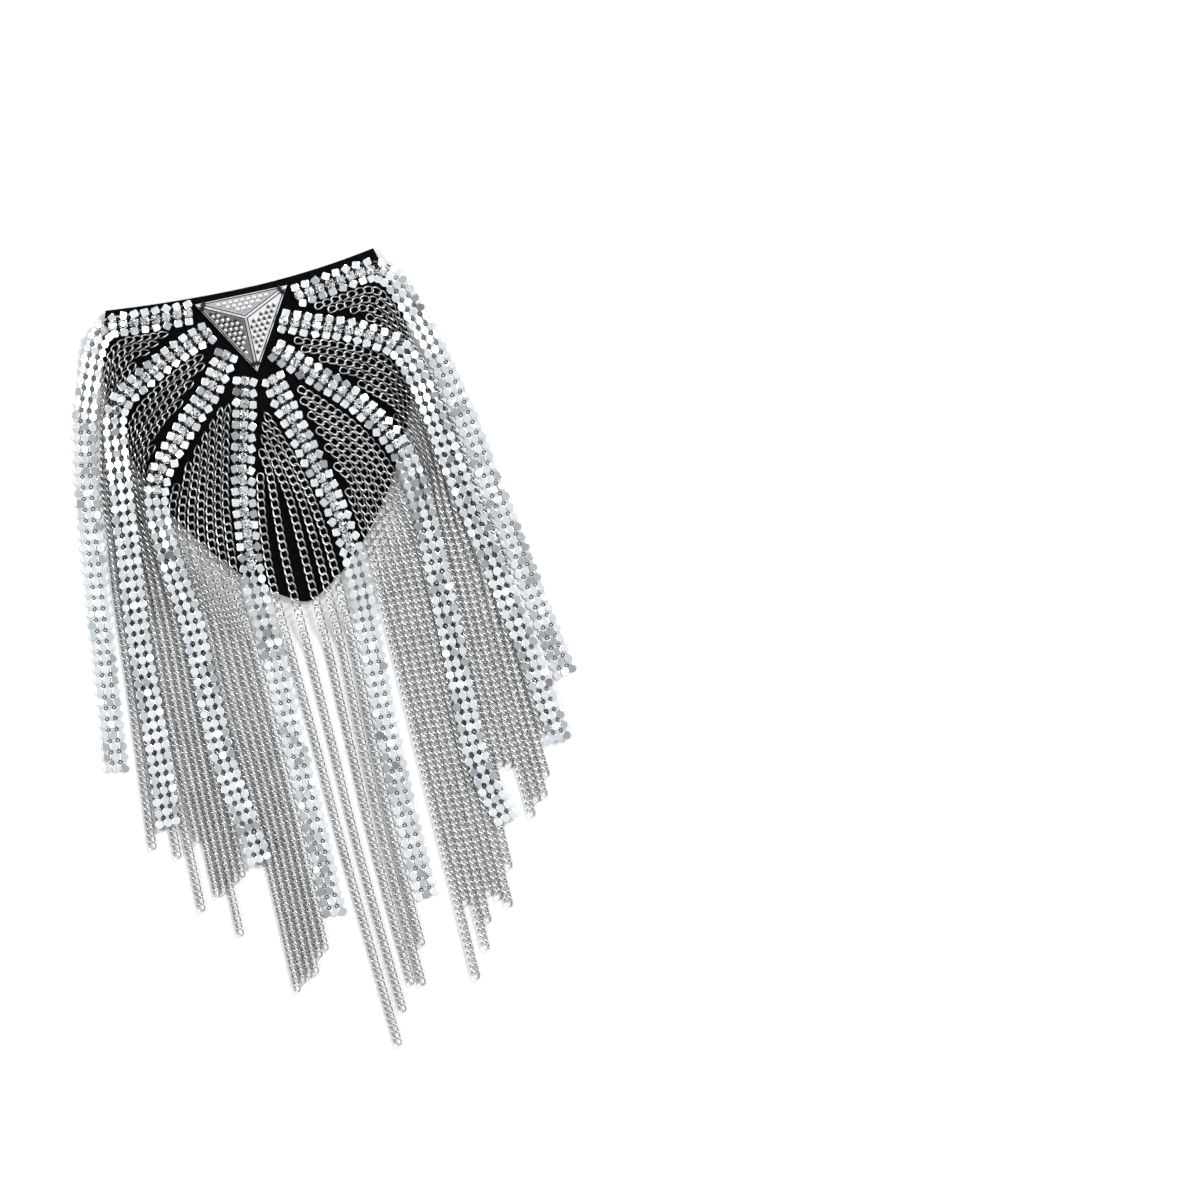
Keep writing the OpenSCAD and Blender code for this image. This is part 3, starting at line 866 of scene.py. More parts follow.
# Each group's name, the rows of its fan, its lean, the edge that it keeps to, the places of its chains
# across it from 0 to 1, their free ends, and its rows: the places of its first and of its last chain
CHAIN_GROUPS = (
    (
        "outer_left", 4, Lean.LEFT, Edge.FIRST, (0, 0.33, 0.655, 1), (-189, -183, -194, -214.5),
        (
            (-28.2, -8.4, -27.9, -9.9), (-32.7, -8.3, -32.3, -11.2), (-38, -8.1, -36, -13.2),
            (-44.3, -7.8, -42, -16.1), (-49.6, -10.5, -47.4, -20.4), (-51.9, -14.7, -48.9, -24),
            (-54.3, -20.4, -49.4, -29.2), (-57, -28, -51.5, -34.4), (-59.1, -36, -53.7, -39.8),
            (-61, -45, -55.7, -46.5), (-63.6, -58, -57.9, -58), (-64.9, -75, -58.4, -75),
            (-66.8, -97, -58.9, -97), (-68.6, -130, -60, -130), (-73.5, -200, -60, -200),
            (-74, -220, -60, -220),
        ),
    ),
    (
        "left", 5, Lean.LEFT, Edge.FIRST, (0, 0.2, 0.4, 0.6, 0.8, 1),
        (-190, -210.5, -210, -226, -207, -205.5),
        (
            (-17.6, -18.6, -16.7, -20.3), (-25, -21.5, -23, -27), (-31.5, -24.7, -28, -33.4),
            (-38, -28.5, -34.7, -38.9), (-44.5, -33.3, -40.7, -45.3), (-49.5, -39.5, -44.7, -52.8),
            (-53.9, -47.6, -46.4, -59.6), (-56, -61, -46.3, -67), (-56.2, -76, -46.4, -77),
            (-56.1, -94, -44.5, -94), (-56.6, -115, -42.8, -115), (-57.2, -145, -43.2, -145),
            (-56.4, -190, -43.3, -190), (-56, -230, -43, -230),
        ),
    ),
    (
        "inner_left", 5, Lean.LEFT, Edge.LAST, (0, 1 / 6, 2 / 6, 3 / 6, 4 / 6, 5 / 6, 1),
        (-203, -250, -247.5, -246, -245, -239.5, -237.5),
        (
            (-13.2, -36.2, -12.4, -37.2), (-18.7, -41.3, -14.9, -45.2), (-25.3, -48.5, -17.1, -55),
            (-31, -54.5, -19.2, -63.5), (-36.3, -61.5, -21.1, -73), (-40, -69.5, -22.2, -83),
            (-42, -81, -23, -93.5), (-40.9, -97, -23.5, -105), (-39.9, -115, -22.6, -119),
            (-39.6, -138, -21.6, -138), (-37.6, -165, -20.9, -165), (-36, -195, -20, -195),
            (-34.8, -255, -19.2, -255),
        ),
    ),
    (
        "centre", 3, Lean.LEFT, Edge.LAST, (0, 0.28, 0.59, 0.81, 1), (-276.5, -265, -256, -257, -243),
        (
            (-1, -43, -0.6, -43), (-4.2, -54, 3.4, -54), (-6.5, -64, 6.4, -64), (-8.5, -75, 9, -75),
            (-9.8, -86, 10.8, -86), (-10.5, -97, 12, -97), (-10.4, -108, 12.6, -108),
            (-9.8, -121, 13, -121), (-8.8, -140, 13.2, -140), (-7.4, -165, 12.9, -165),
            (-5.6, -205, 13.1, -205), (-0.5, -280, 16.5, -280),
        ),
    ),
    (
        "inner_right", 4, Lean.RIGHT, Edge.LAST, (0, 1 / 6, 2 / 6, 3 / 6, 4 / 6, 5 / 6, 1),
        (-259, -232, -249.5, -240, -230.5, -232.5, -236),
        (
            (12.3, -37.6, 13, -37), (14.6, -46, 18.3, -42), (17.5, -56, 24.6, -48.5),
            (20.2, -66, 30, -54.5), (22.8, -76, 35.3, -62.5), (24.8, -86, 39, -71.5),
            (26.2, -96, 41.8, -82), (27, -107, 43.5, -94), (27.2, -121, 44.8, -118),
            (28, -145, 45.6, -145), (29.3, -185, 47, -185), (32, -262, 49.8, -262),
        ),
    ),
    (
        "right", 6, Lean.RIGHT, Edge.LAST, (0, 0.2, 0.4, 0.6, 0.8, 1),
        (-222.5, -205, -186, -187, -206, -200.5),
        (
            (14.3, -21.7, 15.2, -20), (19.6, -25.2, 21.3, -22.3), (23.8, -29.4, 26.3, -23.6),
            (28.8, -34, 32.3, -26), (34.5, -39.5, 39.2, -28.9), (40.3, -46.4, 45.4, -33.2),
            (44.9, -53.4, 50, -40), (47.5, -60.4, 54.3, -48.2), (48.8, -70.5, 57.7, -62),
            (48.4, -81, 59, -77), (47.2, -94, 60, -94), (47.8, -115, 61.9, -115),
            (49, -150, 63.2, -150), (50.8, -195, 66.3, -195), (51.8, -230, 67.5, -230),
        ),
    ),
    (
        "outer_right", 4, Lean.RIGHT, Edge.LAST, (0, 0.325, 0.67, 1), (-200, -193, -178, -176),
        (
            (25.1, -11.4, 24.9, -10.1), (32, -12.6, 31.7, -9), (37, -14.4, 37, -8.6),
            (42.3, -16.8, 42.4, -7.7), (47, -20.6, 48, -8.7), (49, -24.8, 51.5, -13.8),
            (50.3, -30, 53.9, -20), (52.6, -36, 57.3, -31.2), (55.2, -43, 60.6, -41.7),
            (57.6, -51.5, 62.8, -51.5), (59.7, -62, 64.9, -62), (61.9, -77, 67.1, -77),
            (63, -94, 69.7, -94), (65, -115, 72.9, -115), (66, -148, 74.5, -148),
            (69.5, -200, 78, -200),
        ),
    ),
)


@dataclass(frozen=True)
class Link:
    """One curb link, an oblong ring of wire with a saddle twist.

    The painted light and shade is given for each side of the wire, along the link and round its ends.
    """

    length: float = 4.32
    width: float = 3.08
    wire: float = 0.58
    twist: float = -0.4
    squareness: float = 2.25
    steps: int = 12
    sides: int = 6
    pitch: float = 3.1
    slack_pitch: float = 2.4
    # Painted light and shade on the wire's six sides, from the outer side round over the top, the inner side
    # and the bottom
    side_painted_light: tuple[float, ...] = (0.85, 1.0, 1.0, 0.75, 0.25, 0.45)
    end_painted_light: tuple[float, ...] = (0.7, 1.0, 0.95, 0.35, 0.1, 0.35)
    # Painted shade where the twisted wire dips, darkest at its lowest corners
    dip_shade_level: float = 1.15
    dip_shade_lift: float = 1.3
    darkest_dip_shade: float = 0.42
    # How much of the painted shade the hanging links lose
    shade_lift: float = 0.05

    def centreline(self) -> tuple[np.ndarray, np.ndarray]:
        """The wire's centreline, and how near each of its points is to an end of the link."""
        turn = (np.arange(self.steps) + 0.5) * 2 * math.pi / self.steps
        power = 2 / self.squareness
        x = (self.length - self.wire) / 2 * np.sign(np.cos(turn)) * np.abs(np.cos(turn)) ** power
        y = (self.width - self.wire) / 2 * np.sign(np.sin(turn)) * np.abs(np.sin(turn)) ** power
        return np.stack([x, y, self.twist * x * y], axis=1), np.cos(turn) ** 2

    def shades(self, shade_lift: float) -> np.ndarray:
        """Painted light and shade for each point: lit on top, shaded in the hollow, below and where it dips.

        Args:
            shade_lift: How much of the painted shade is lifted, from 0 to 1.

        Returns:
            A factor for each of the link's points.
        """
        path, end = self.centreline()
        painted_light = end[:, None] * self.end_painted_light + (1 - end[:, None]) * self.side_painted_light
        lift = path[:, 2] / np.abs(path[:, 2]).max()
        dip_shade = np.clip(self.dip_shade_level + self.dip_shade_lift * lift, self.darkest_dip_shade, 1)
        return shade_lift + (1 - shade_lift) * (painted_light * dip_shade[:, None]).reshape(-1)

    def depth(self, tilt: np.ndarray) -> np.ndarray:
        """How far the link reaches below its middle when it is turned about its length."""
        path, _ = self.centreline()
        low = path[:, 1] * np.sin(tilt)[:, None] + path[:, 2] * np.cos(tilt)[:, None]
        return self.wire / 2 - low.min(axis=1)

    def sunk(self, frames: np.ndarray, up: np.ndarray) -> np.ndarray:
        """How far each placed link reaches below its middle, against its upward direction."""
        path, _ = self.centreline()
        heights = np.einsum("pi,nij,nj->np", path, frames, up)
        return self.wire / 2 - heights.min(axis=1)

    def mesh(self) -> Mesh:
        """The link's points and faces, about its middle and along its first axis."""
        path, _ = self.centreline()
        return tube(path, self.wire / 2, self.sides, closed=True)


@dataclass
class ChainGroup:
    """A group of chains between two bands, each from its start under the stud to its free end."""

    name: str
    fan_rows: int
    lean: Lean
    keep: Edge
    shares: Numbers
    ends: Numbers
    rows: Sequence[Numbers]
    seed: int = 1
    flat_pitch: float = 2.8
    start_slack: float = 0.15
    least_lead: float = 0.25
    lie_width: float = 2.7
    lie_thickness: float = 1.5
    least_gap: float = 0.35
    row_margin: float = 4.0
    slack_reach: float = 0.25
    free_roll: float = 0.38
    free_yaw: float = 0.2
    roll_spread: float = 0.07
    clearance: float = 0.035
    tone: float = 0.8
    tone_spread: float = 0.12
    least_tone: float = 0.2
    # How much lighter the hanging links are painted, as painted light
    loose_painted_light: float = 0.17
    loose_from: float = 0.5
    link: Link = field(default_factory=Link)

    def __post_init__(self) -> None:
        """Lays the chains out across each row, and finds where each one starts."""
        rows = np.array(self.rows, float)
        self.count = len(self.ends)
        mids = (rows[:, :2] + rows[:, 2:]) / 2
        across = rows[:, 2:] - rows[:, :2]
        room = breadth(across, headings(mids))
        offsets = self._offsets(room)
        self.points = mids[None] + (across / room[:, None])[None] * offsets[..., None]
        inside = self.keep.value * offsets + room / 2 + self.start_slack
        self.first = [int(np.argmax(row >= 0)) for row in inside]
        leads = [float(row[k] / (row[k] - row[k - 1])) if k else 0.0 for row, k in zip(inside, self.first)]
        self.lead = [lead if lead > self.least_lead else 0.0 for lead in leads]

    def _offsets(self, room: np.ndarray) -> np.ndarray:
        """How far each chain is from the middle of each row, counted towards the last chain.

        In the fan the chains keep a least pitch from one edge, and those left without room start later.

        Args:
            room: The width of each row.

        Returns:
            The distances, with a line for each chain.
        """
        fan = np.arange(len(room)) < self.fan_rows
        even = room / (self.count - 1)
        pitch = np.where(fan, np.maximum(even, self.flat_pitch), even)
        steady = np.linspace(0, 1, self.count)[:, None]
        share = np.where(fan, steady, np.array(self.shares)[:, None])
        behind = (1 - share if self.keep is Edge.LAST else share) * (self.count - 1)
        return self.keep.value * (room / 2 - pitch[None, :] * behind)

    def route(self, index: int) -> Route:
        """A chain's route, cut at the height of its end."""
        first, lead, every = self.first[index], self.lead[index], self.points[index]
        points = every[first:]
        if lead:
            points = np.vstack([lead * every[first - 1] + (1 - lead) * every[first], points])
        end = self.ends[index]
        kept = points[points[:, 1] > end + self.row_margin]
        a, b = kept[-1], points[len(kept)]
        return Route([*kept, a + (b - a) * (a[1] - end) / (a[1] - b[1])])

    def tilts(self, index: int) -> np.ndarray:
        """How far a chain turns on edge at each row, from the room that its neighbours leave."""
        runs = headings(self.points)
        room = np.full(len(self.rows), math.inf)
        for i in (index - 1, index):
            if 0 <= i < self.count - 1:
                apart = self.points[i + 1] - self.points[i]
                room = np.minimum(room, breadth(apart, unit(runs[i] + runs[i + 1])))
        half = (room - self.least_gap) / 2
        a, b = self.lie_width / 2, self.lie_thickness / 2
        share = np.clip((half**2 - b * b) / (a * a - b * b), 0, 1)
        return self.lean.value * np.arccos(np.sqrt(share))

    def lie(self, index: int) -> tuple[np.ndarray, np.ndarray, np.ndarray]:
        """A chain's centreline, closely sampled, with its tilt and how slack it is at each sample."""
        route = self.route(index)
        place = route.places
        plan = route.at(place)
        first, lead = self.first[index], self.lead[index]
        rows = np.where(place < 1, first - lead * (1 - place), first + place - 1) if lead else first + place
        tilt = np.interp(rows, np.arange(len(self.rows)), self.tilts(index))
        slack = np.clip((DOME.reach(plan) - 1.0) / self.slack_reach, 0, 1)
        tilt = self.lean.value * np.maximum(np.abs(tilt), self.free_roll * slack)
        return np.column_stack([plan, DOME.drape(plan) + self.link.depth(tilt)]), tilt, slack

    def build(self) -> None:
        """Makes each chain of the group."""
        draw = np.random.default_rng(self.seed)
        for index in range(self.count):
            self._build_chain(index, draw)

    def _strung(self, path: np.ndarray, slack: np.ndarray) -> tuple[np.ndarray, np.ndarray, np.ndarray]:
        """Spaces links out along a chain's centreline, closer together where it is slack.

        Args:
            path: The centreline's samples.
            slack: How slack the chain is at each of them.

        Returns:
            Each link's place in samples, its middle and its direction.
        """
        samples = np.arange(len(path))
        pitch = self.link.pitch + (self.link.slack_pitch - self.link.pitch) * slack
        along = distances(path)
        counted = np.concatenate([[0.0], np.cumsum(np.diff(along) / pitch[1:])])
        ends = np.interp([self.link.length / 2, along[-1] - self.link.length / 2], along, counted)
        spots = np.interp(np.linspace(*ends, int(round(ends[1] - ends[0])) + 1), counted, samples)
        station, half = np.interp(spots, samples, along), np.interp(spots, samples, pitch) / 2
        back, front = (picked(path, np.interp(station + way * half, along, samples)) for way in (-1, 1))
        return spots, (back + front) / 2, unit(front - back)

    def _build_chain(self, index: int, draw: np.random.Generator) -> None:
        """Makes one chain."""
        path, tilt, slack = self.lie(index)
        spots, centres, ahead = self._strung(path, slack)
        tilt, loose = picked(np.stack([tilt, slack], axis=1), spots).T
        side = unit(np.cross(UP, ahead))
        up = np.cross(ahead, side)
        roll = tilt + draw.normal(0, self.roll_spread, len(spots))
        across = np.cos(roll)[:, None] * side + np.sin(roll)[:, None] * up
        frames = np.stack([ahead, across, np.cross(ahead, across)], axis=1)
        frames = turned(frames, loose * self.free_yaw)
        # Each link's tone differs at random, and where the chain hangs loose it is painted lighter as well
        tones = draw.normal(self.tone, self.tone_spread, len(spots)) + self.loose_painted_light * loose
        tones = np.clip(tones, self.least_tone, 1)
        sunk = self.link.sunk(frames, up) - self.link.depth(tilt)
        centres = centres + up * (np.maximum(sunk, 0) + self.clearance)[:, None]
        shell = Shell(CHAIN_WIRE)
        hanging = loose >= self.loose_from
        # Hanging links lose part of their painted shade
        for part, shade_lift in ((~hanging, 0.0), (hanging, self.link.shade_lift)):
            link, shades = self.link.mesh(), self.link.shades(shade_lift)
            shell.repeat(*link, frames[part], centres[part], None, tones[part], shades, smooth=True)
        node = f"chain_{self.name}_{index + 1}"
        shell.piece(f"{node}_links", [node])


# Mesh bands and crystals

# Each band's route down its middle, with its lift above what it lies on as the third value
BAND_ROWS = (
    (
        (-17.8, -2.7, 0), (-28, -2.5, 0), (-38, -2, 0), (-45, -1.5, 0), (-50, -2, 0), (-53.5, -5, 0),
        (-56, -9.5, 0), (-58.3, -15, 0), (-61, -22, 0), (-64.3, -31.5, 0), (-66.5, -42, 0),
        (-68.5, -54, 0), (-70.5, -70, 0), (-73, -93, 0), (-75.5, -118, 0), (-79.5, -159.5, 0),
    ),
    (
        (-12.9, -10.4, 0), (-24, -14.5, 0), (-33, -18.5, 0), (-40.5, -22.5, 1.1), (-46.5, -26, 2.8),
        (-50.5, -29, 3.5), (-53, -33, 3.6), (-54.5, -39, 3.6), (-55.5, -47, 3.4), (-56.5, -58, 3.2),
        (-58, -72, 3.1), (-59.5, -88, 2.8), (-61.5, -108, 2.3), (-62.5, -130, 2), (-63.5, -158, 2),
        (-65.5, -182.5, 2),
    ),
    (
        (-8.5, -18.8, 0), (-17.5, -31, 0), (-24.5, -38, 0), (-31, -44.5, 0.2), (-37, -51, 2.2),
        (-41.5, -57, 3.2), (-44.5, -64, 3.4), (-45.5, -72, 3.2), (-45, -84, 3), (-43.5, -98, 2.5),
        (-42, -112, 2.1), (-41.5, -135, 2), (-41, -162, 2.2), (-38, -184, 2.4), (-35.5, -202, 2.4),
    ),
    (
        (-4.6, -29, 0), (-7, -39.5, 0), (-9.6, -50, 0), (-12.2, -61, 0), (-14.2, -72, 0),
        (-15.5, -83, 0), (-16.4, -94, 0), (-16.8, -103, 0), (-16.3, -115, 0), (-15.5, -135, 0),
        (-14.8, -165, 0), (-13.8, -195, 0), (-13.5, -226.5, 0),
    ),
    (
        (4.65, -30.3, 0), (6.5, -39.5, 0), (9, -49.5, 0), (11.8, -60, 0), (14.7, -71, 0),
        (17.2, -82, 0), (19, -93, 0), (20, -103, 0), (20, -115, 0), (19.5, -135, 0), (19, -165, 0),
        (19.2, -195, 0), (20.5, -227, 0),
    ),
    (
        (7.05, -21.05, 0), (16.67, -30.54, 0), (24, -37.5, 0), (30.8, -44.5, 0.2), (36.5, -52, 1.8),
        (41.5, -60, 3.3), (45, -68.5, 3.3), (47, -78, 3.2), (48, -90, 2.6), (48.5, -108, 2.2),
        (48.5, -135, 2.1), (48, -160, 2), (48, -178, 2), (50.3, -191, 2), (54.5, -206, 2),
    ),
    (
        (11.3, -11.9, 0), (22, -16, 0), (31, -19, 0), (39.3, -22.5, 0.8), (45.2, -26, 3.2),
        (49.7, -29, 3.8), (52.7, -33, 3.9), (54.7, -38.5, 3.7), (56.3, -45, 3.4), (58.5, -55, 3.3),
        (60.5, -67, 3.2), (62.5, -80, 3.1), (65.5, -96, 2.8), (69, -115, 2.6), (73.5, -140, 2.3),
        (76.5, -160, 2.2), (79, -181.5, 2.1),
    ),
    (
        (18.3, -5, 0), (27, -3.7, 0), (35, -2.5, 0), (43, -1.3, 0), (48.5, -1.3, 0), (53, -4, 0),
        (56, -9.5, 0), (58.3, -16, 0), (61, -24, 0), (63.8, -33, 0), (66.3, -42, 0), (68.5, -52, 0),
        (70.7, -64, 0), (73, -79, 0), (76.5, -100, 0), (81, -128, 0), (86, -159, 0),
    ),
)

# How far along each band its crystals go
STONE_RUNS = (34, 45, 59, 71, 71, 62, 44, 36)


@dataclass
class MeshBand:
    """A band of pressed plates, three to its width, joined by small rings.

    A row of the plate's profile gives its share of the full size and its height. A neck's values are its
    width, the height of its top and its tone.
    """

    number: int
    rows: Sequence[Numbers]
    stone_run: float
    width: float = 9.0
    thickness: float = 0.8
    pitch: float = 3.95
    column_pitch: float = 3.0
    columns: tuple[int, ...] = (-1, 0, 1)
    end_room: float = 1.6
    shear: float = 0.35
    shear_step: float = 2.1
    heading_samples: int = 6
    plate_width: float = 2.86
    plate_length: float = 2.96
    plate_sink: float = 0.05
    plate_profile: Sequence[Numbers] = (
        (0.82, -0.34), (0.97, -0.3), (1.0, -0.12), (0.96, 0.0), (0.86, 0.04), (0.7, 0.03),
    )
    corner: float = 0.78
    pad_scale: float = 0.96
    pad_corner: float = 0.4
    pad_turn: float = 0.38
    sway: float = 0.075
    neck_overlap: float = 0.35
    neck_bottom: float = -0.36
    # On the pad the necks are painted near black, as the shade between the plates
    pad_neck: tuple[float, float, float] = (0.7, -0.2, 0.06)
    loose_neck: tuple[float, float, float] = (1.0, -0.08, 0.9)
    ring_radius: float = 0.56
    ring_wire: float = 0.34
    ring_height: float = 0.28
    tone: float = 0.6
    tone_wave: float = 0.6
    wave_steps: tuple[float, float, float] = (0.23, 3.7, 5.1)
    tone_spread: float = 0.16
    least_tone: float = 0.22
    dark_share: float = 0.006
    dark_tone: float = 0.02
    slope_shade: float = 1.6

    def __post_init__(self) -> None:
        """Samples the route, with the height of each edge."""
        route = Route(self.rows)
        spots, run = route.at(route.places), route.run(route.places)
        self.plan = spots[:, :2]
        self.side = np.stack([-run[:, 1], run[:, 0]], axis=1)
        rise = np.maximum(0, spots[:, 2])
        half = self.side * self.width / 2
        self.edges = np.stack([DOME.drape(self.plan + way * half) + rise for way in (-1, 1)], axis=1)
        self.spine = np.column_stack([self.plan, self.edges.mean(axis=1)])
        self.length = distances(self.spine)[-1]

    def spot(self, distance: np.ndarray, offset: np.ndarray) -> tuple[np.ndarray, np.ndarray]:
        """Places on the band's underside.

        Args:
            distance: Distances along the band.
            offset: Distances to the side of its middle.

        Returns:
            The points, and for each its three axes, along, across and up.
        """
        place = np.interp(distance, distances(self.spine), np.arange(len(self.spine)))
        side = unit(picked(self.side, place))
        low, high = picked(self.edges, place).T
        slope = (high - low) / self.width
        level = picked(self.plan, place) + side * offset[:, None]
        points = np.column_stack([level, (low + high) / 2 + slope * offset])
        near = self.heading_samples
        along = unit(picked(self.spine, place + near) - picked(self.spine, place - near))
        up = unit(np.cross(along, unit(np.column_stack([side, slope]))))
        return points, np.stack([along, np.cross(up, along), up], axis=1)

    def plate(self, scale: float, corner: float) -> Mesh:
        """One plate: a pressed square with cut corners, a rolled rim and a shallow dish.

        Args:
            scale: Its size against the common plate's.
            corner: How much of each corner is cut.

        Returns:
            Its points and its faces.
        """
        plan = cut_square(self.plate_length / 2 * scale, self.plate_width / 2 * scale, corner)
        return stack([raised(plan * wide, height) for wide, height in self.plate_profile])

    def build(self) -> None:
        """Makes the band."""
        draw = np.random.default_rng(PLATE_SEED + self.number)
        rows = int(round(self.length / self.pitch))
        pitch = self.length / rows
        stations = np.repeat((np.arange(rows) + 0.5) * pitch, 3)
        column = np.tile(self.columns, rows)
        distance = stations + column * self.shear * math.sin(self.number * self.shear_step)
        distance = np.clip(distance, self.end_room, self.length - self.end_room)
        places, frames = self.spot(distance, column * self.column_pitch)
        frames = tipped(frames, draw.normal(0, self.sway, (rows * 3, 2)))
        places = places + frames[:, 2] * (self.thickness - self.plate_sink)
        tones = self._tones(draw, rows) * (1 - self.slope_shade * (1 - frames[:, 2, 2]))
        on_pad = stations < self.stone_run
        frames = turned(frames, draw.normal(0, self.pad_turn, len(frames)) * on_pad)
        shell = Shell(PLATE, RING_WIRE)
        for part, scale, corner in ((on_pad, self.pad_scale, self.pad_corner), (~on_pad, 1.0, self.corner)):
            shell.repeat(*self.plate(scale, corner), frames[part], places[part], PLATE, tones[part])
        self._add_necks(shell, rows, pitch)
        self._add_rings(shell, rows, pitch)
        node = f"band_{self.number}"
        shell.piece(f"{node}_plates", [node])

    def _tones(self, draw: np.random.Generator, rows: int) -> np.ndarray:
        """A tone for each plate: long bright and grey stretches in each column, with odd dark ones."""
        spots = [(row, column, self.number) for row in range(rows) for column in range(3)]
        wave = np.array([noise.noise(spot) for spot in np.array(spots) * self.wave_steps]).reshape(rows, 3)
        tones = self.tone + self.tone_wave * wave + draw.normal(0, self.tone_spread, wave.shape)
        tones = np.clip(tones, self.least_tone, 1.0)
        tones[draw.random(tones.shape) < self.dark_share] = self.dark_tone
        return tones.reshape(-1)

    def _add_necks(self, shell: Shell, rows: int, pitch: float) -> None:
        """Adds the necks that join each plate to the next one along, with painted shade on the pad."""
        gaps = np.repeat(np.arange(1, rows) * pitch, 3)
        places, frames = self.spot(gaps, np.tile(self.columns, rows - 1) * self.column_pitch)
        places = places + frames[:, 2] * (self.thickness - self.plate_sink)
        on_pad = gaps < self.stone_run
        reach = (pitch - self.plate_length) / 2 + self.neck_overlap
        for part, (width, top, tone) in ((on_pad, self.pad_neck), (~on_pad, self.loose_neck)):
            half = width / 2
            plan = np.array([(reach, -half), (reach, half), (-reach, half), (-reach, -half)])
            rings = [raised(plan, height) for height in (self.neck_bottom, top)]
            shell.repeat(*stack(rings), frames[part], places[part], RING_WIRE, tone)

    def _add_rings(self, shell: Shell, rows: int, pitch: float) -> None:
        """Adds the rings that join the plates, seen through the holes between them, painted dark as shade."""
        wire = tube(ring(self.ring_radius, 0.0, 8), self.ring_wire / 2, 4, closed=True)
        gaps = np.repeat(np.arange(1, rows) * pitch, 2)
        places, frames = self.spot(gaps, np.tile([-0.5, 0.5], rows - 1) * self.column_pitch)
        places = places + frames[:, 2] * self.ring_height
        # Tone 0 paints the rings near black, as the shade in the holes between the plates
        shell.repeat(*wire, frames, places, RING_WIRE, 0.0, smooth=True)


@dataclass
class CrystalString:
    """The claw-set crystals along a band's middle.

    A row of a profile gives the distance from the stone's axis and the height. A third value is the turn of
    a stone's ring in parts of a side, or the radius of a claw's wire. The stones' and the cups' tones are
    given by their middle and their spread.
    """

    band: MeshBand
    start: float = 2.0
    pitch: float = 3.9
    sides: int = 8
    girdle: float = 1.68
    table: float = 0.9
    height: float = 1.42
    lift: float = 0.45
    cup: float = 1.84
    cup_foot: float = 0.03
    claw_foot: float = 0.15
    turn_spread: float = 0.14
    lean_spread: float = 0.09
    stone_tones: tuple[float, float] = (0.62, 0.3)
    cup_tones: tuple[float, float] = (0.8, 0.12)
    least_cup_tone: float = 0.3
    bar_reach: float = 1.2
    bar_lift: float = 0.3
    bar_radius: float = 0.24
    bar_tone: float = 0.6

    def stone(self) -> Mesh:
        """A cut stone: a pointed back, a girdle, a crown of facets and a table."""
        profile = (
            (0.25, 0.02, 0.5), (self.girdle * 0.72, 0.42, 0.5), (self.girdle, 0.86, 0.5),
            (self.girdle, 0.95, 0.5), (self.girdle * 0.8, 1.24, 0.0), (self.table, self.height, 0.5),
        )
        return stack([ring(radius, self.lift + rise, self.sides, phase) for radius, rise, phase in profile])

    def setting(self) -> Mesh:
        """The cup under the stone, with a hollow that its back sits in."""
        profile = (
            (0.9, 0.0), (self.cup * 0.96, 0.12), (self.cup, 0.9), (self.cup - 0.1, 1.12),
            (self.girdle + 0.01, 1.12), (self.girdle * 0.78, 0.72), (0.3, 0.34),
        )
        return stack([ring(radius, self.cup_foot + rise, self.sides, 0.5) for radius, rise in profile])

    def claws(self) -> list[Mesh]:
        """The four claws that fold over the stone's shoulders."""
        profile = (
            (self.cup - 0.02, 0.0, 0.2), (self.cup + 0.04, 0.95, 0.24), (self.cup - 0.1, 1.42, 0.26),
            (self.girdle * 0.74, 1.62, 0.14),
        )
        made = []
        for out in ring(1.0, 0.0, 4, 0.5):
            path = np.array([out * radius + UP * (self.claw_foot + rise) for radius, rise, _ in profile])
            made.append(tube(path, np.array([wire for _, _, wire in profile]), 6))
        return made

    def gaps(self) -> np.ndarray:
        """Distances along the band to the gaps between its stones."""
        return np.arange(self.start + self.pitch / 2, self.band.stone_run, self.pitch)

    def build(self) -> None:
        """Makes the string."""
        band = self.band
        draw = np.random.default_rng(STONE_SEED + band.number)
        level = np.arange(self.start, band.stone_run + 1e-6, self.pitch)
        stations = np.interp(level, distances(band.plan), distances(band.spine))
        count = len(stations)
        places, frames = band.spot(stations, np.zeros(count))
        places = places + frames[:, 2] * band.thickness
        frames = turned(frames, draw.normal(0, self.turn_spread, count))
        frames = tipped(frames, draw.normal(0, self.lean_spread, (count, 2)))
        shell = Shell(CRYSTAL, BRIGHT_CUP)
        tones = np.clip(draw.normal(*self.stone_tones, count), 0, 1)
        shell.repeat(*self.stone(), frames, places, CRYSTAL, tones)
        tones = np.clip(draw.normal(*self.cup_tones, count), self.least_cup_tone, 1)
        shell.repeat(*self.setting(), frames, places, BRIGHT_CUP, tones)
        for claw in self.claws():
            shell.repeat(*claw, frames, places, BRIGHT_CUP, tones, smooth=True)
        self._add_bars(shell, places)
        node = f"crystals_{band.number}"
        shell.piece(f"{node}_set", [node])

    def _add_bars(self, shell: Shell, places: np.ndarray) -> None:
        """Adds the short bars that join the cups."""
        for a, b in zip(places, places[1:]):
            reach = unit(b - a) * self.bar_reach
            ends = np.array([a + reach, b - reach]) + UP * self.bar_lift
            shell.add(*tube(ends, self.bar_radius, 6), BRIGHT_CUP, self.bar_tone, smooth=True)


# Stud


@dataclass(frozen=True)
class FacetLook:
    """How one facet of the stud looks, as painted light and shade.

    Args:
        peak_light: How bright its ground is painted at the peak.
        base_light: How bright its ground is painted at its base.
        dot_shadow: How dark the painted shadow beside each dot and the dot's shaded side are.
        shadow_side: The level direction from a dot to its painted shadow.
    """

    peak_light: float
    base_light: float
    dot_shadow: float
    shadow_side: tuple[float, float]


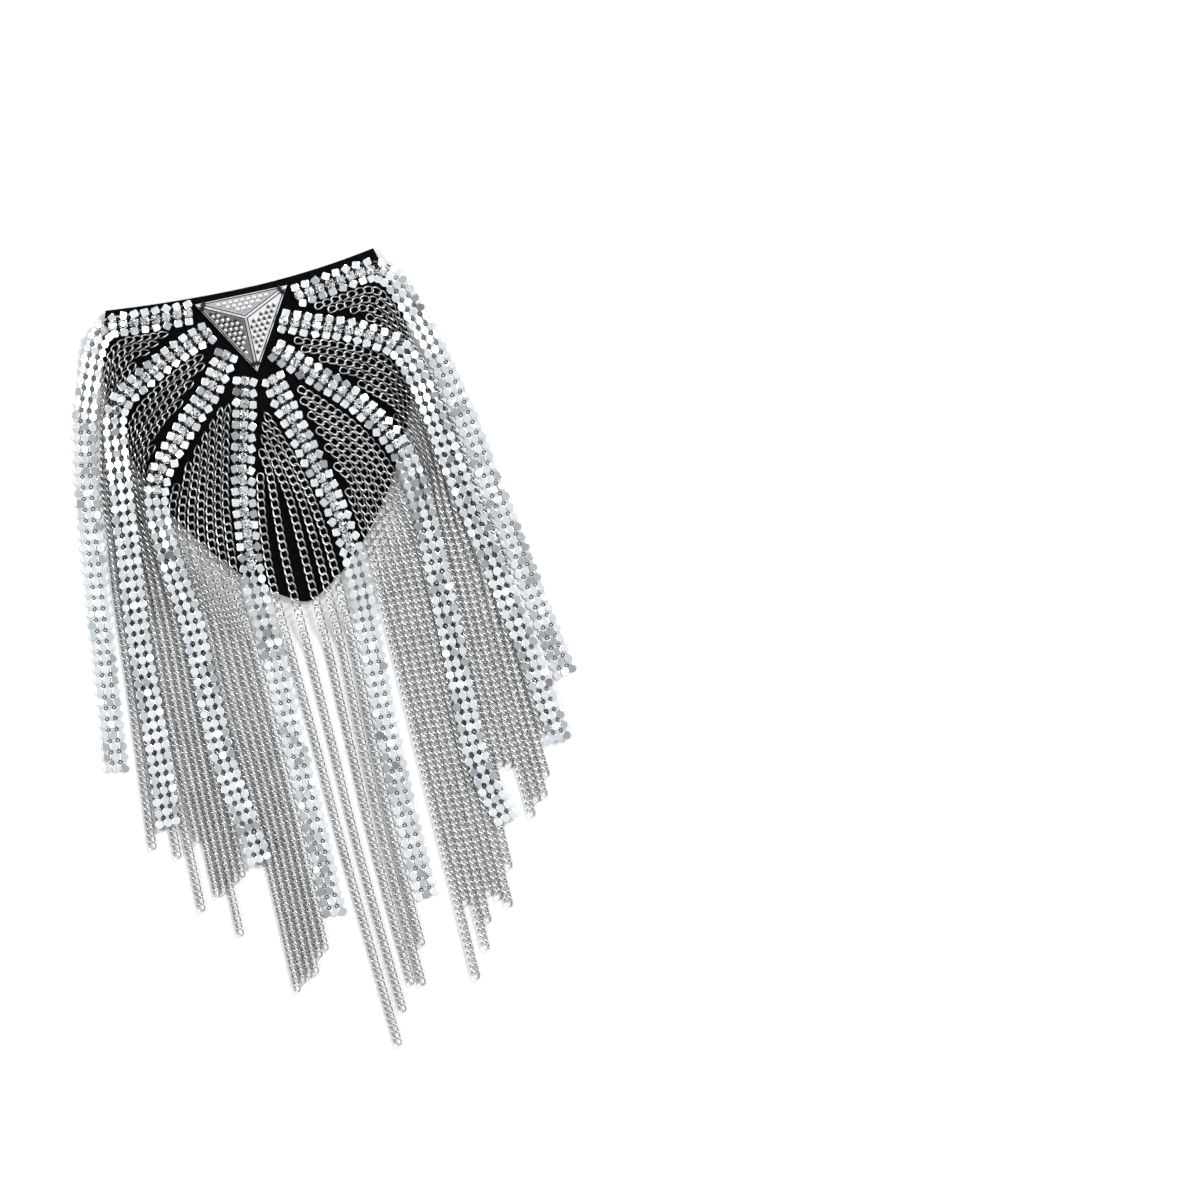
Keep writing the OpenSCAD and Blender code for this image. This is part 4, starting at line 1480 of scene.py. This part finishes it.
@dataclass
class PyramidStud:
    """The three-sided cast stud, with a raised rim round each facet and rows of raised dots.

    A row of a facet's profile gives the distance from its edge, the lift and the tone. A row of a dot's
    profile gives its share of the full radius and height.
    """

    width: float = 34.0
    length: float = 28.5
    height: float = 7.0
    skirt: float = 0.8
    skirt_tone: float = 0.8
    base: float = 9.65
    side_y: float = -0.2
    peak_share: float = 0.3
    dot_radius: float = 0.72
    dot_height: float = 0.5
    dot_pitch: float = 2.2
    dot_sides: int = 12
    dot_stretch: tuple[float, float, float] = (1.15, 0.9, 1.0)
    row_share: float = 0.87
    margin: float = 1.3
    first_gap: float = 0.8
    # The painted shadow beside each dot: how far out it lies and how wide it is, in dot radii
    shadow_reach: float = 1.3
    shadow_width: float = 1.6
    # How strongly each dot's side away from the light is painted in shade, and how much lighter its top stays
    side_shade: float = 0.9
    lit_top: float = 0.8
    ground_steps: int = 80
    # Painted light and shade for each facet: the left facet painted darker, the right one bright, and each
    # dot's painted shadow on the side away from the light
    top_look: FacetLook = FacetLook(0.78, 0.78, 0.25, (0.2, -1.0))
    left_look: FacetLook = FacetLook(0.35, 0.7, 0.95, (-0.6, 0.8))
    right_look: FacetLook = FacetLook(1.0, 1.0, 1.0, (-0.8, -0.5))
    dot_profile: Sequence[Numbers] = (
        (1.0, -0.4), (1.0, 0.05), (0.95, 0.45), (0.76, 0.8), (0.42, 0.97), (0.12, 1.0),
    )
    profile: Sequence[Numbers] = (
        (0.0, -0.12, 0.8), (0.06, 0.04, 1.0), (0.38, 0.1, 1.0), (0.46, 0.0, 0.0), (0.56, -0.14, 0.0),
        (0.78, -0.14, 0.0), (0.88, 0.02, 0.95), (1.1, -0.02, 0.95),
    )

    def corners(self) -> np.ndarray:
        """The right, left and lower corners on top of the skirt."""
        z = self.base + self.skirt
        half, y = self.width / 2, self.side_y
        return np.array([(half, y, z), (-half, y, z), (0.0, -self.length, z)])

    def peak(self) -> np.ndarray:
        """The peak."""
        return np.array([0.0, -self.peak_share * self.length, self.base + self.height])

    @staticmethod
    def inset(triangle: np.ndarray, distance: float) -> np.ndarray:
        """A triangle whose sides are moved inwards by a distance, in its own plane."""
        sides = np.linalg.norm(np.roll(triangle, -1, axis=0) - np.roll(triangle, -2, axis=0), axis=1)
        middle = (triangle * sides[:, None]).sum(axis=0) / sides.sum()
        cross = np.linalg.norm(np.cross(triangle[1] - triangle[0], triangle[2] - triangle[0]))
        radius = cross / sides.sum()
        return middle + (triangle - middle) * (1 - distance / radius)

    def facet(self, shell: Shell, a: np.ndarray, b: np.ndarray, look: FacetLook) -> None:
        """Adds one facet with its rim and dots.

        Args:
            shell: The stud's shell.
            a: The base corner on its right as seen from outside.
            b: The other base corner.
            look: How it looks.
        """
        triangle = np.array([self.peak(), b, a])
        rings = [self.inset(triangle, distance) + UP * lift for distance, lift, _ in self.profile]
        tones = np.repeat([tone for _, _, tone in self.profile], 3)
        shell.add(np.concatenate(rings), walls(len(rings), 3), ANTIQUE, tones)
        spots, frame = self._dots(triangle)
        # The level way from each dot to its painted shadow
        dark = np.array([*look.shadow_side, 0.0])
        dark = unit(dark - frame[2] * np.dot(dark, frame[2]))
        self._add_ground(shell, rings[-1], spots + dark * self.dot_radius * self.shadow_reach, look)
        self._add_dots(shell, spots, frame, dark, look)

    def _dots(self, triangle: np.ndarray) -> tuple[np.ndarray, np.ndarray]:
        """Where a facet's dots are, in rows in line with its base.

        Args:
            triangle: The facet's corners, the peak first.

        Returns:
            The dots' places, and their axes: along the base, up the facet and out of it.
        """
        peak, b, a = triangle
        right = unit(a - b)
        up = unit(peak - b - right * np.dot(peak - b, right))
        normal = np.cross(right, up)
        if normal[2] < 0:
            normal = -normal
        inner = self.inset(triangle, self.margin + self.dot_radius)
        middle = np.linalg.norm(a - b) / 2
        half_count = int(middle / self.dot_pitch) + 1
        spots = []
        for row in range(int(np.dot(peak - b, up) / self.dot_pitch) + 1):
            line = b + up * (self.margin + self.first_gap + row * self.dot_pitch * self.row_share)
            shift = 0.5 if row % 2 else 0.0
            for n in range(-half_count, half_count + 1):
                spot = line + right * (middle + (n + shift) * self.dot_pitch)
                if self._inside(spot, inner):
                    spots.append(spot)
        return np.array(spots), np.stack([right, np.cross(normal, right), normal])

    def _add_ground(self, shell: Shell, corners: np.ndarray, shadow_spots: np.ndarray, look: FacetLook) -> None:
        """Adds the facet's ground as a fine net, with painted light and a painted shadow beside each dot.

        Args:
            shell: The stud's shell.
            corners: The ground's corners, the peak first.
            shadow_spots: The middles of the painted shadows.
            look: How the facet looks.
        """
        n = self.ground_steps
        knots = [(i, j) for i in range(n + 1) for j in range(n + 1 - i)]
        order = {knot: place for place, knot in enumerate(knots)}
        share = np.array(knots) / n
        peak, left, right = corners
        points = peak + share[:, :1] * (left - peak) + share[:, 1:] * (right - peak)
        faces = [(order[i, j], order[i + 1, j], order[i, j + 1]) for i, j in knots if i + j < n]
        faces += [(order[i + 1, j], order[i + 1, j + 1], order[i, j + 1]) for i, j in knots if i + j < n - 1]
        away = np.linalg.norm(points[:, None] - shadow_spots[None], axis=2).min(axis=1)
        # Painted shadow beside each dot, on ground whose painted light grades from the peak to the base
        painted_shadow = look.dot_shadow * np.clip(self.shadow_width - away / self.dot_radius, 0, 1)
        facet_light = look.peak_light + (look.base_light - look.peak_light) * share.sum(axis=1)
        shell.add(points, faces, ANTIQUE, facet_light * (1 - painted_shadow), smooth=True)

    def _add_dots(
        self, shell: Shell, spots: np.ndarray, frame: np.ndarray, dark: np.ndarray, look: FacetLook
    ) -> None:
        """Adds the raised dots, each with painted shade on the side of its painted shadow.

        Args:
            shell: The stud's shell.
            spots: Where they are.
            frame: Their axes.
            dark: The direction to their painted shadows.
            look: How the facet looks.
        """
        # Painted shade on each dot's side away from the light, less towards its top
        side_shade = look.dot_shadow * np.clip(self.side_shade * ring(1.0, 0.0, self.dot_sides) @ frame @ dark, 0, 1)
        rings, shades = [], []
        for wide, high in self.dot_profile:
            level = ring(self.dot_radius * wide, self.dot_height * high, self.dot_sides)
            rings.append(level * self.dot_stretch)
            shades.append(1 - side_shade * (1 - self.lit_top * max(high, 0)))
        points, faces = stack(rings)
        frames = np.broadcast_to(frame, (len(spots), 3, 3))
        shell.repeat(points, faces, frames, spots, ANTIQUE, 1.0, np.concatenate(shades), smooth=True)

    @staticmethod
    def _inside(spot: np.ndarray, triangle: np.ndarray) -> bool:
        """Whether a spot in the triangle's plane is in the triangle."""
        sides = np.roll(triangle, -1, axis=0) - triangle
        signs = np.cross(sides, spot - triangle)[:, 2]
        return bool(np.all(signs >= 0) or np.all(signs <= 0))

    def build(self) -> None:
        """Makes the stud."""
        shell = Shell(ANTIQUE)
        right, left, low = self.corners()
        for a, b, look in (
            (right, left, self.top_look), (left, low, self.left_look), (low, right, self.right_look),
        ):
            self.facet(shell, a, b, look)
        rim = np.array([right, left, low]) + UP * self.profile[0][1]
        foot = raised(rim[:, :2], self.base)
        shell.add(np.concatenate([rim, foot]), walls(2, 3) + [(5, 4, 3)], ANTIQUE, self.skirt_tone)
        shell.piece("pyramid_stud", ["stud"])


# Brooch bar


@dataclass
class BroochBar:
    """The pin bar under the pad."""

    length: float = 34.0
    middle_y: float = -12.0
    width: float = 6.0
    thickness: float = 0.8
    depth: float = 5.0
    top: float = DOME.crown - 0.15
    block: float = 4.0
    block_width: float = 3.0
    soft: float = 0.3
    rolled: float = 0.15
    edge_scale: float = 0.94
    block_foot: float = 0.86
    pin_above: float = 2.0
    pin_inset: float = 1.0
    pin_samples: int = 24
    wire: float = 0.5
    taper: float = 4.5
    point: float = 0.25

    def build(self) -> None:
        """Makes the bar, its two blocks and its pin."""
        shell = Shell(NICKEL)
        half = self.length / 2
        self._add_plate(shell, half)
        for side in (-1, 1):
            self._add_block(shell, DOME.mid + side * (half - self.block / 2))
        left = DOME.mid - half + self.pin_inset
        start = np.array([left, self.middle_y, self.top - self.depth + self.pin_above])
        along = np.linspace(0, self.length - 2 * self.pin_inset, self.pin_samples)
        radius = self.wire * np.clip(np.linspace(self.taper, self.point, self.pin_samples), self.point, 1)
        shell.add(*tube(start + along[:, None] * [1, 0, 0], radius, 12), NICKEL, 0.9, smooth=True)
        shell.piece("brooch_pin", ["pin_bar"])

    def _add_plate(self, shell: Shell, half: float) -> None:
        """Adds the bar itself, with rounded ends and a rolled edge."""
        outline = []
        radius = self.width / 2
        for centre, start in ((half - radius, -90), (radius - half, 90)):
            for turn in np.radians(start + np.arange(0, 181, 15)):
                outline.append((centre + radius * math.cos(turn), radius * math.sin(turn)))
        small, low, roll = self.edge_scale, -self.thickness, self.rolled
        rings = []
        for scale, z in ((small, low), (1, low + roll), (1, -roll), (small, 0)):
            shrunk = np.array(outline) * [1 - (1 - scale) * radius / half, scale]
            rings.append(raised(shrunk + [DOME.mid, self.middle_y], self.top + z))
        shell.add(*stack(rings), NICKEL, 0.85)

    def _add_block(self, shell: Shell, x: float) -> None:
        """Adds a block that holds one end of the pin, with softened edges."""
        low, high = self.top - self.depth + 1, self.top - self.thickness / 2
        plan = cut_square(self.block / 2, self.block_width / 2, self.soft)
        rings = []
        for scale, z in ((self.block_foot, low), (1, low + self.soft), (1, high)):
            rings.append(raised(plan * scale + [x, self.middle_y], z))
        shell.add(*stack(rings), NICKEL, 0.8)


# Sewing


@dataclass
class Sewing:
    """The black stitches that hold the stud, and the crystals here and there."""

    thread: float = 0.24
    half: float = 1.75
    from_corner: tuple[float, ...] = (2.5, 2.95, 3.4)
    stud_sink: float = 0.1
    stud_height: float = 2.4
    band_lift: float = 0.5
    band_height: float = 1.2
    sewn_share: float = 0.4

    def build(self, strings: Sequence[CrystalString]) -> None:
        """Makes the stitches."""
        shell = Shell(THREAD)
        self._sew_stud(shell, PyramidStud())
        for string in strings:
            self._sew_band(shell, string)
        shell.piece("stitches")

    def _arch(self, shell: Shell, start: np.ndarray, end: np.ndarray, height: float) -> None:
        """Adds one stitch as a low arch."""
        turn = np.linspace(0, math.pi, 9)
        path = start + (end - start) * ((1 - np.cos(turn)) / 2)[:, None]
        path[:, 2] += height * np.sin(turn)
        shell.add(*tube(path, self.thread, 6), THREAD, smooth=True)

    def _sew_stud(self, shell: Shell, stud: PyramidStud) -> None:
        """Sews the stud down across each corner."""
        for corner in stud.corners():
            out = unit((corner - stud.peak()) * [1, 1, 0])
            side = np.array([-out[1], out[0], 0.0]) * self.half
            for back in self.from_corner:
                middle = corner - out * back
                middle[2] = stud.base - self.stud_sink
                self._arch(shell, middle - side, middle + side, self.stud_height)

    def _sew_band(self, shell: Shell, string: CrystalString) -> None:
        """Sews a band down between some of its crystals."""
        draw = np.random.default_rng(STITCH_SEED + string.band.number)
        gaps = string.gaps()
        for distance in gaps[draw.random(len(gaps)) < self.sewn_share]:
            ends, frames = string.band.spot(np.array([distance] * 2), np.array([-self.half, self.half]))
            self._arch(shell, *(ends + frames[:, 2] * self.band_lift), self.band_height)


# Stage


@dataclass(frozen=True)
class Lamp:
    """A soft square lamp."""

    name: str
    place: tuple[float, float, float]
    size: float
    power: float

    def build(self) -> None:
        """Hangs the lamp, turned to the part."""
        data = bpy.data.lights.new(self.name, "AREA")
        data.shape = "SQUARE"
        data.size = self.size
        data.energy = self.power
        lamp = placed(self.name, data)
        lamp.location = self.place
        x, y, z = self.place
        lamp.rotation_euler = (math.atan2(math.hypot(x, y), z), 0, math.atan2(x, -y))


@dataclass
class Stage:
    """The floor, the soft light and the camera straight above, turned as in the photograph."""

    lens: float = 600.0
    sensor: float = 36.0
    view_width: float = 432.0
    turn: float = -12.0
    centre: tuple[float, float] = (100.3, 0.6)
    focus_height: float = 3.0
    clip_end: float = 20.0
    floor_half: float = 3.0
    ground_light: float = 0.28
    window_light: float = 0.9
    back_light: float = 0.36
    sky_light: float = 0.9
    sky_patches: float = 1.3
    patch_size: float = 5.0
    sky_from: float = 0.5
    sky_edge: float = 2.2
    lamps: Sequence[Lamp] = (
        Lamp("key_lamp", (1.5, 1.0, 1.9), 0.8, 46.0),
        Lamp("side_lamp", (-1.5, 0.5, 2.1), 0.8, 24.0),
    )

    def build(self) -> None:
        """Sets the stage."""
        self._lay_floor()
        self._light_world()
        for lamp in self.lamps:
            lamp.build()
        data = bpy.data.cameras.new("camera")
        data.lens = self.lens
        data.sensor_width = self.sensor
        data.clip_end = self.clip_end
        camera = placed("camera", data)
        height = self.view_width * self.lens / self.sensor + self.focus_height
        camera.location = np.array([*self.centre, height]) * MILLIMETRE
        camera.rotation_euler = (0, 0, math.radians(self.turn))
        bpy.context.scene.camera = camera
        bpy.context.scene.view_settings.view_transform = "Standard"

    def _lay_floor(self) -> None:
        """Lays the floor."""
        mesh = bpy.data.meshes.new("floor")
        corners = np.array([(-1, -1, 0), (1, -1, 0), (1, 1, 0), (-1, 1, 0)]) * self.floor_half
        mesh.from_pydata(corners.tolist(), [], [(0, 1, 2, 3)])
        mesh.materials.append(Wardrobe.material(PAPER))
        floor = placed("floor", mesh)

    def _light_world(self) -> None:
        """Lights the world: pale overhead, with soft patches, and brighter low down to the right."""
        world = bpy.data.worlds.new("soft_room")
        bpy.context.scene.world = world
        world.use_nodes = True
        graph = Graph(world.node_tree)
        way = graph.node("ShaderNodeTexCoord", output="Generated")
        spots = {"Vector": way, "Scale": self.patch_size, "Detail": 1.0}
        patches = graph.node("ShaderNodeTexNoise", {}, spots)
        apart = graph.node("ShaderNodeSeparateXYZ", {}, {"Vector": way})
        across, away, height = (Value(graph, apart.socket.node.outputs[i]) for i in range(3))
        window = (across * 0.86 - away * 0.5).clamped() ** 2
        low = self.ground_light + self.window_light * window + self.back_light * away.clamped()
        high = self.sky_light + (patches - 0.5) * self.sky_patches
        share = ((height - self.sky_from) * self.sky_edge).clamped()
        strength = low * (1 - share) + high * share
        light = {"Color": (0.97, 0.985, 1.0, 1.0), "Strength": strength}
        background = graph.node("ShaderNodeBackground", {}, light)
        graph.node("ShaderNodeOutputWorld", {}, {"Surface": background})


def main() -> None:
    """Builds the part and its stage."""
    logging.basicConfig(level=logging.INFO, format="%(name)s %(message)s", stream=sys.stdout)
    Stage().build()
    FeltPad().build()
    PyramidStud().build()
    BroochBar().build()
    bands = [MeshBand(number, *band) for number, band in enumerate(zip(BAND_ROWS, STONE_RUNS), 1)]
    strings = [CrystalString(band) for band in bands]
    for band, string in zip(bands, strings):
        band.build()
        string.build()
    for seed, group in enumerate(CHAIN_GROUPS, 1):
        ChainGroup(*group, seed=seed).build()
    Sewing().build(strings)


if __name__ == "__main__":
    main()
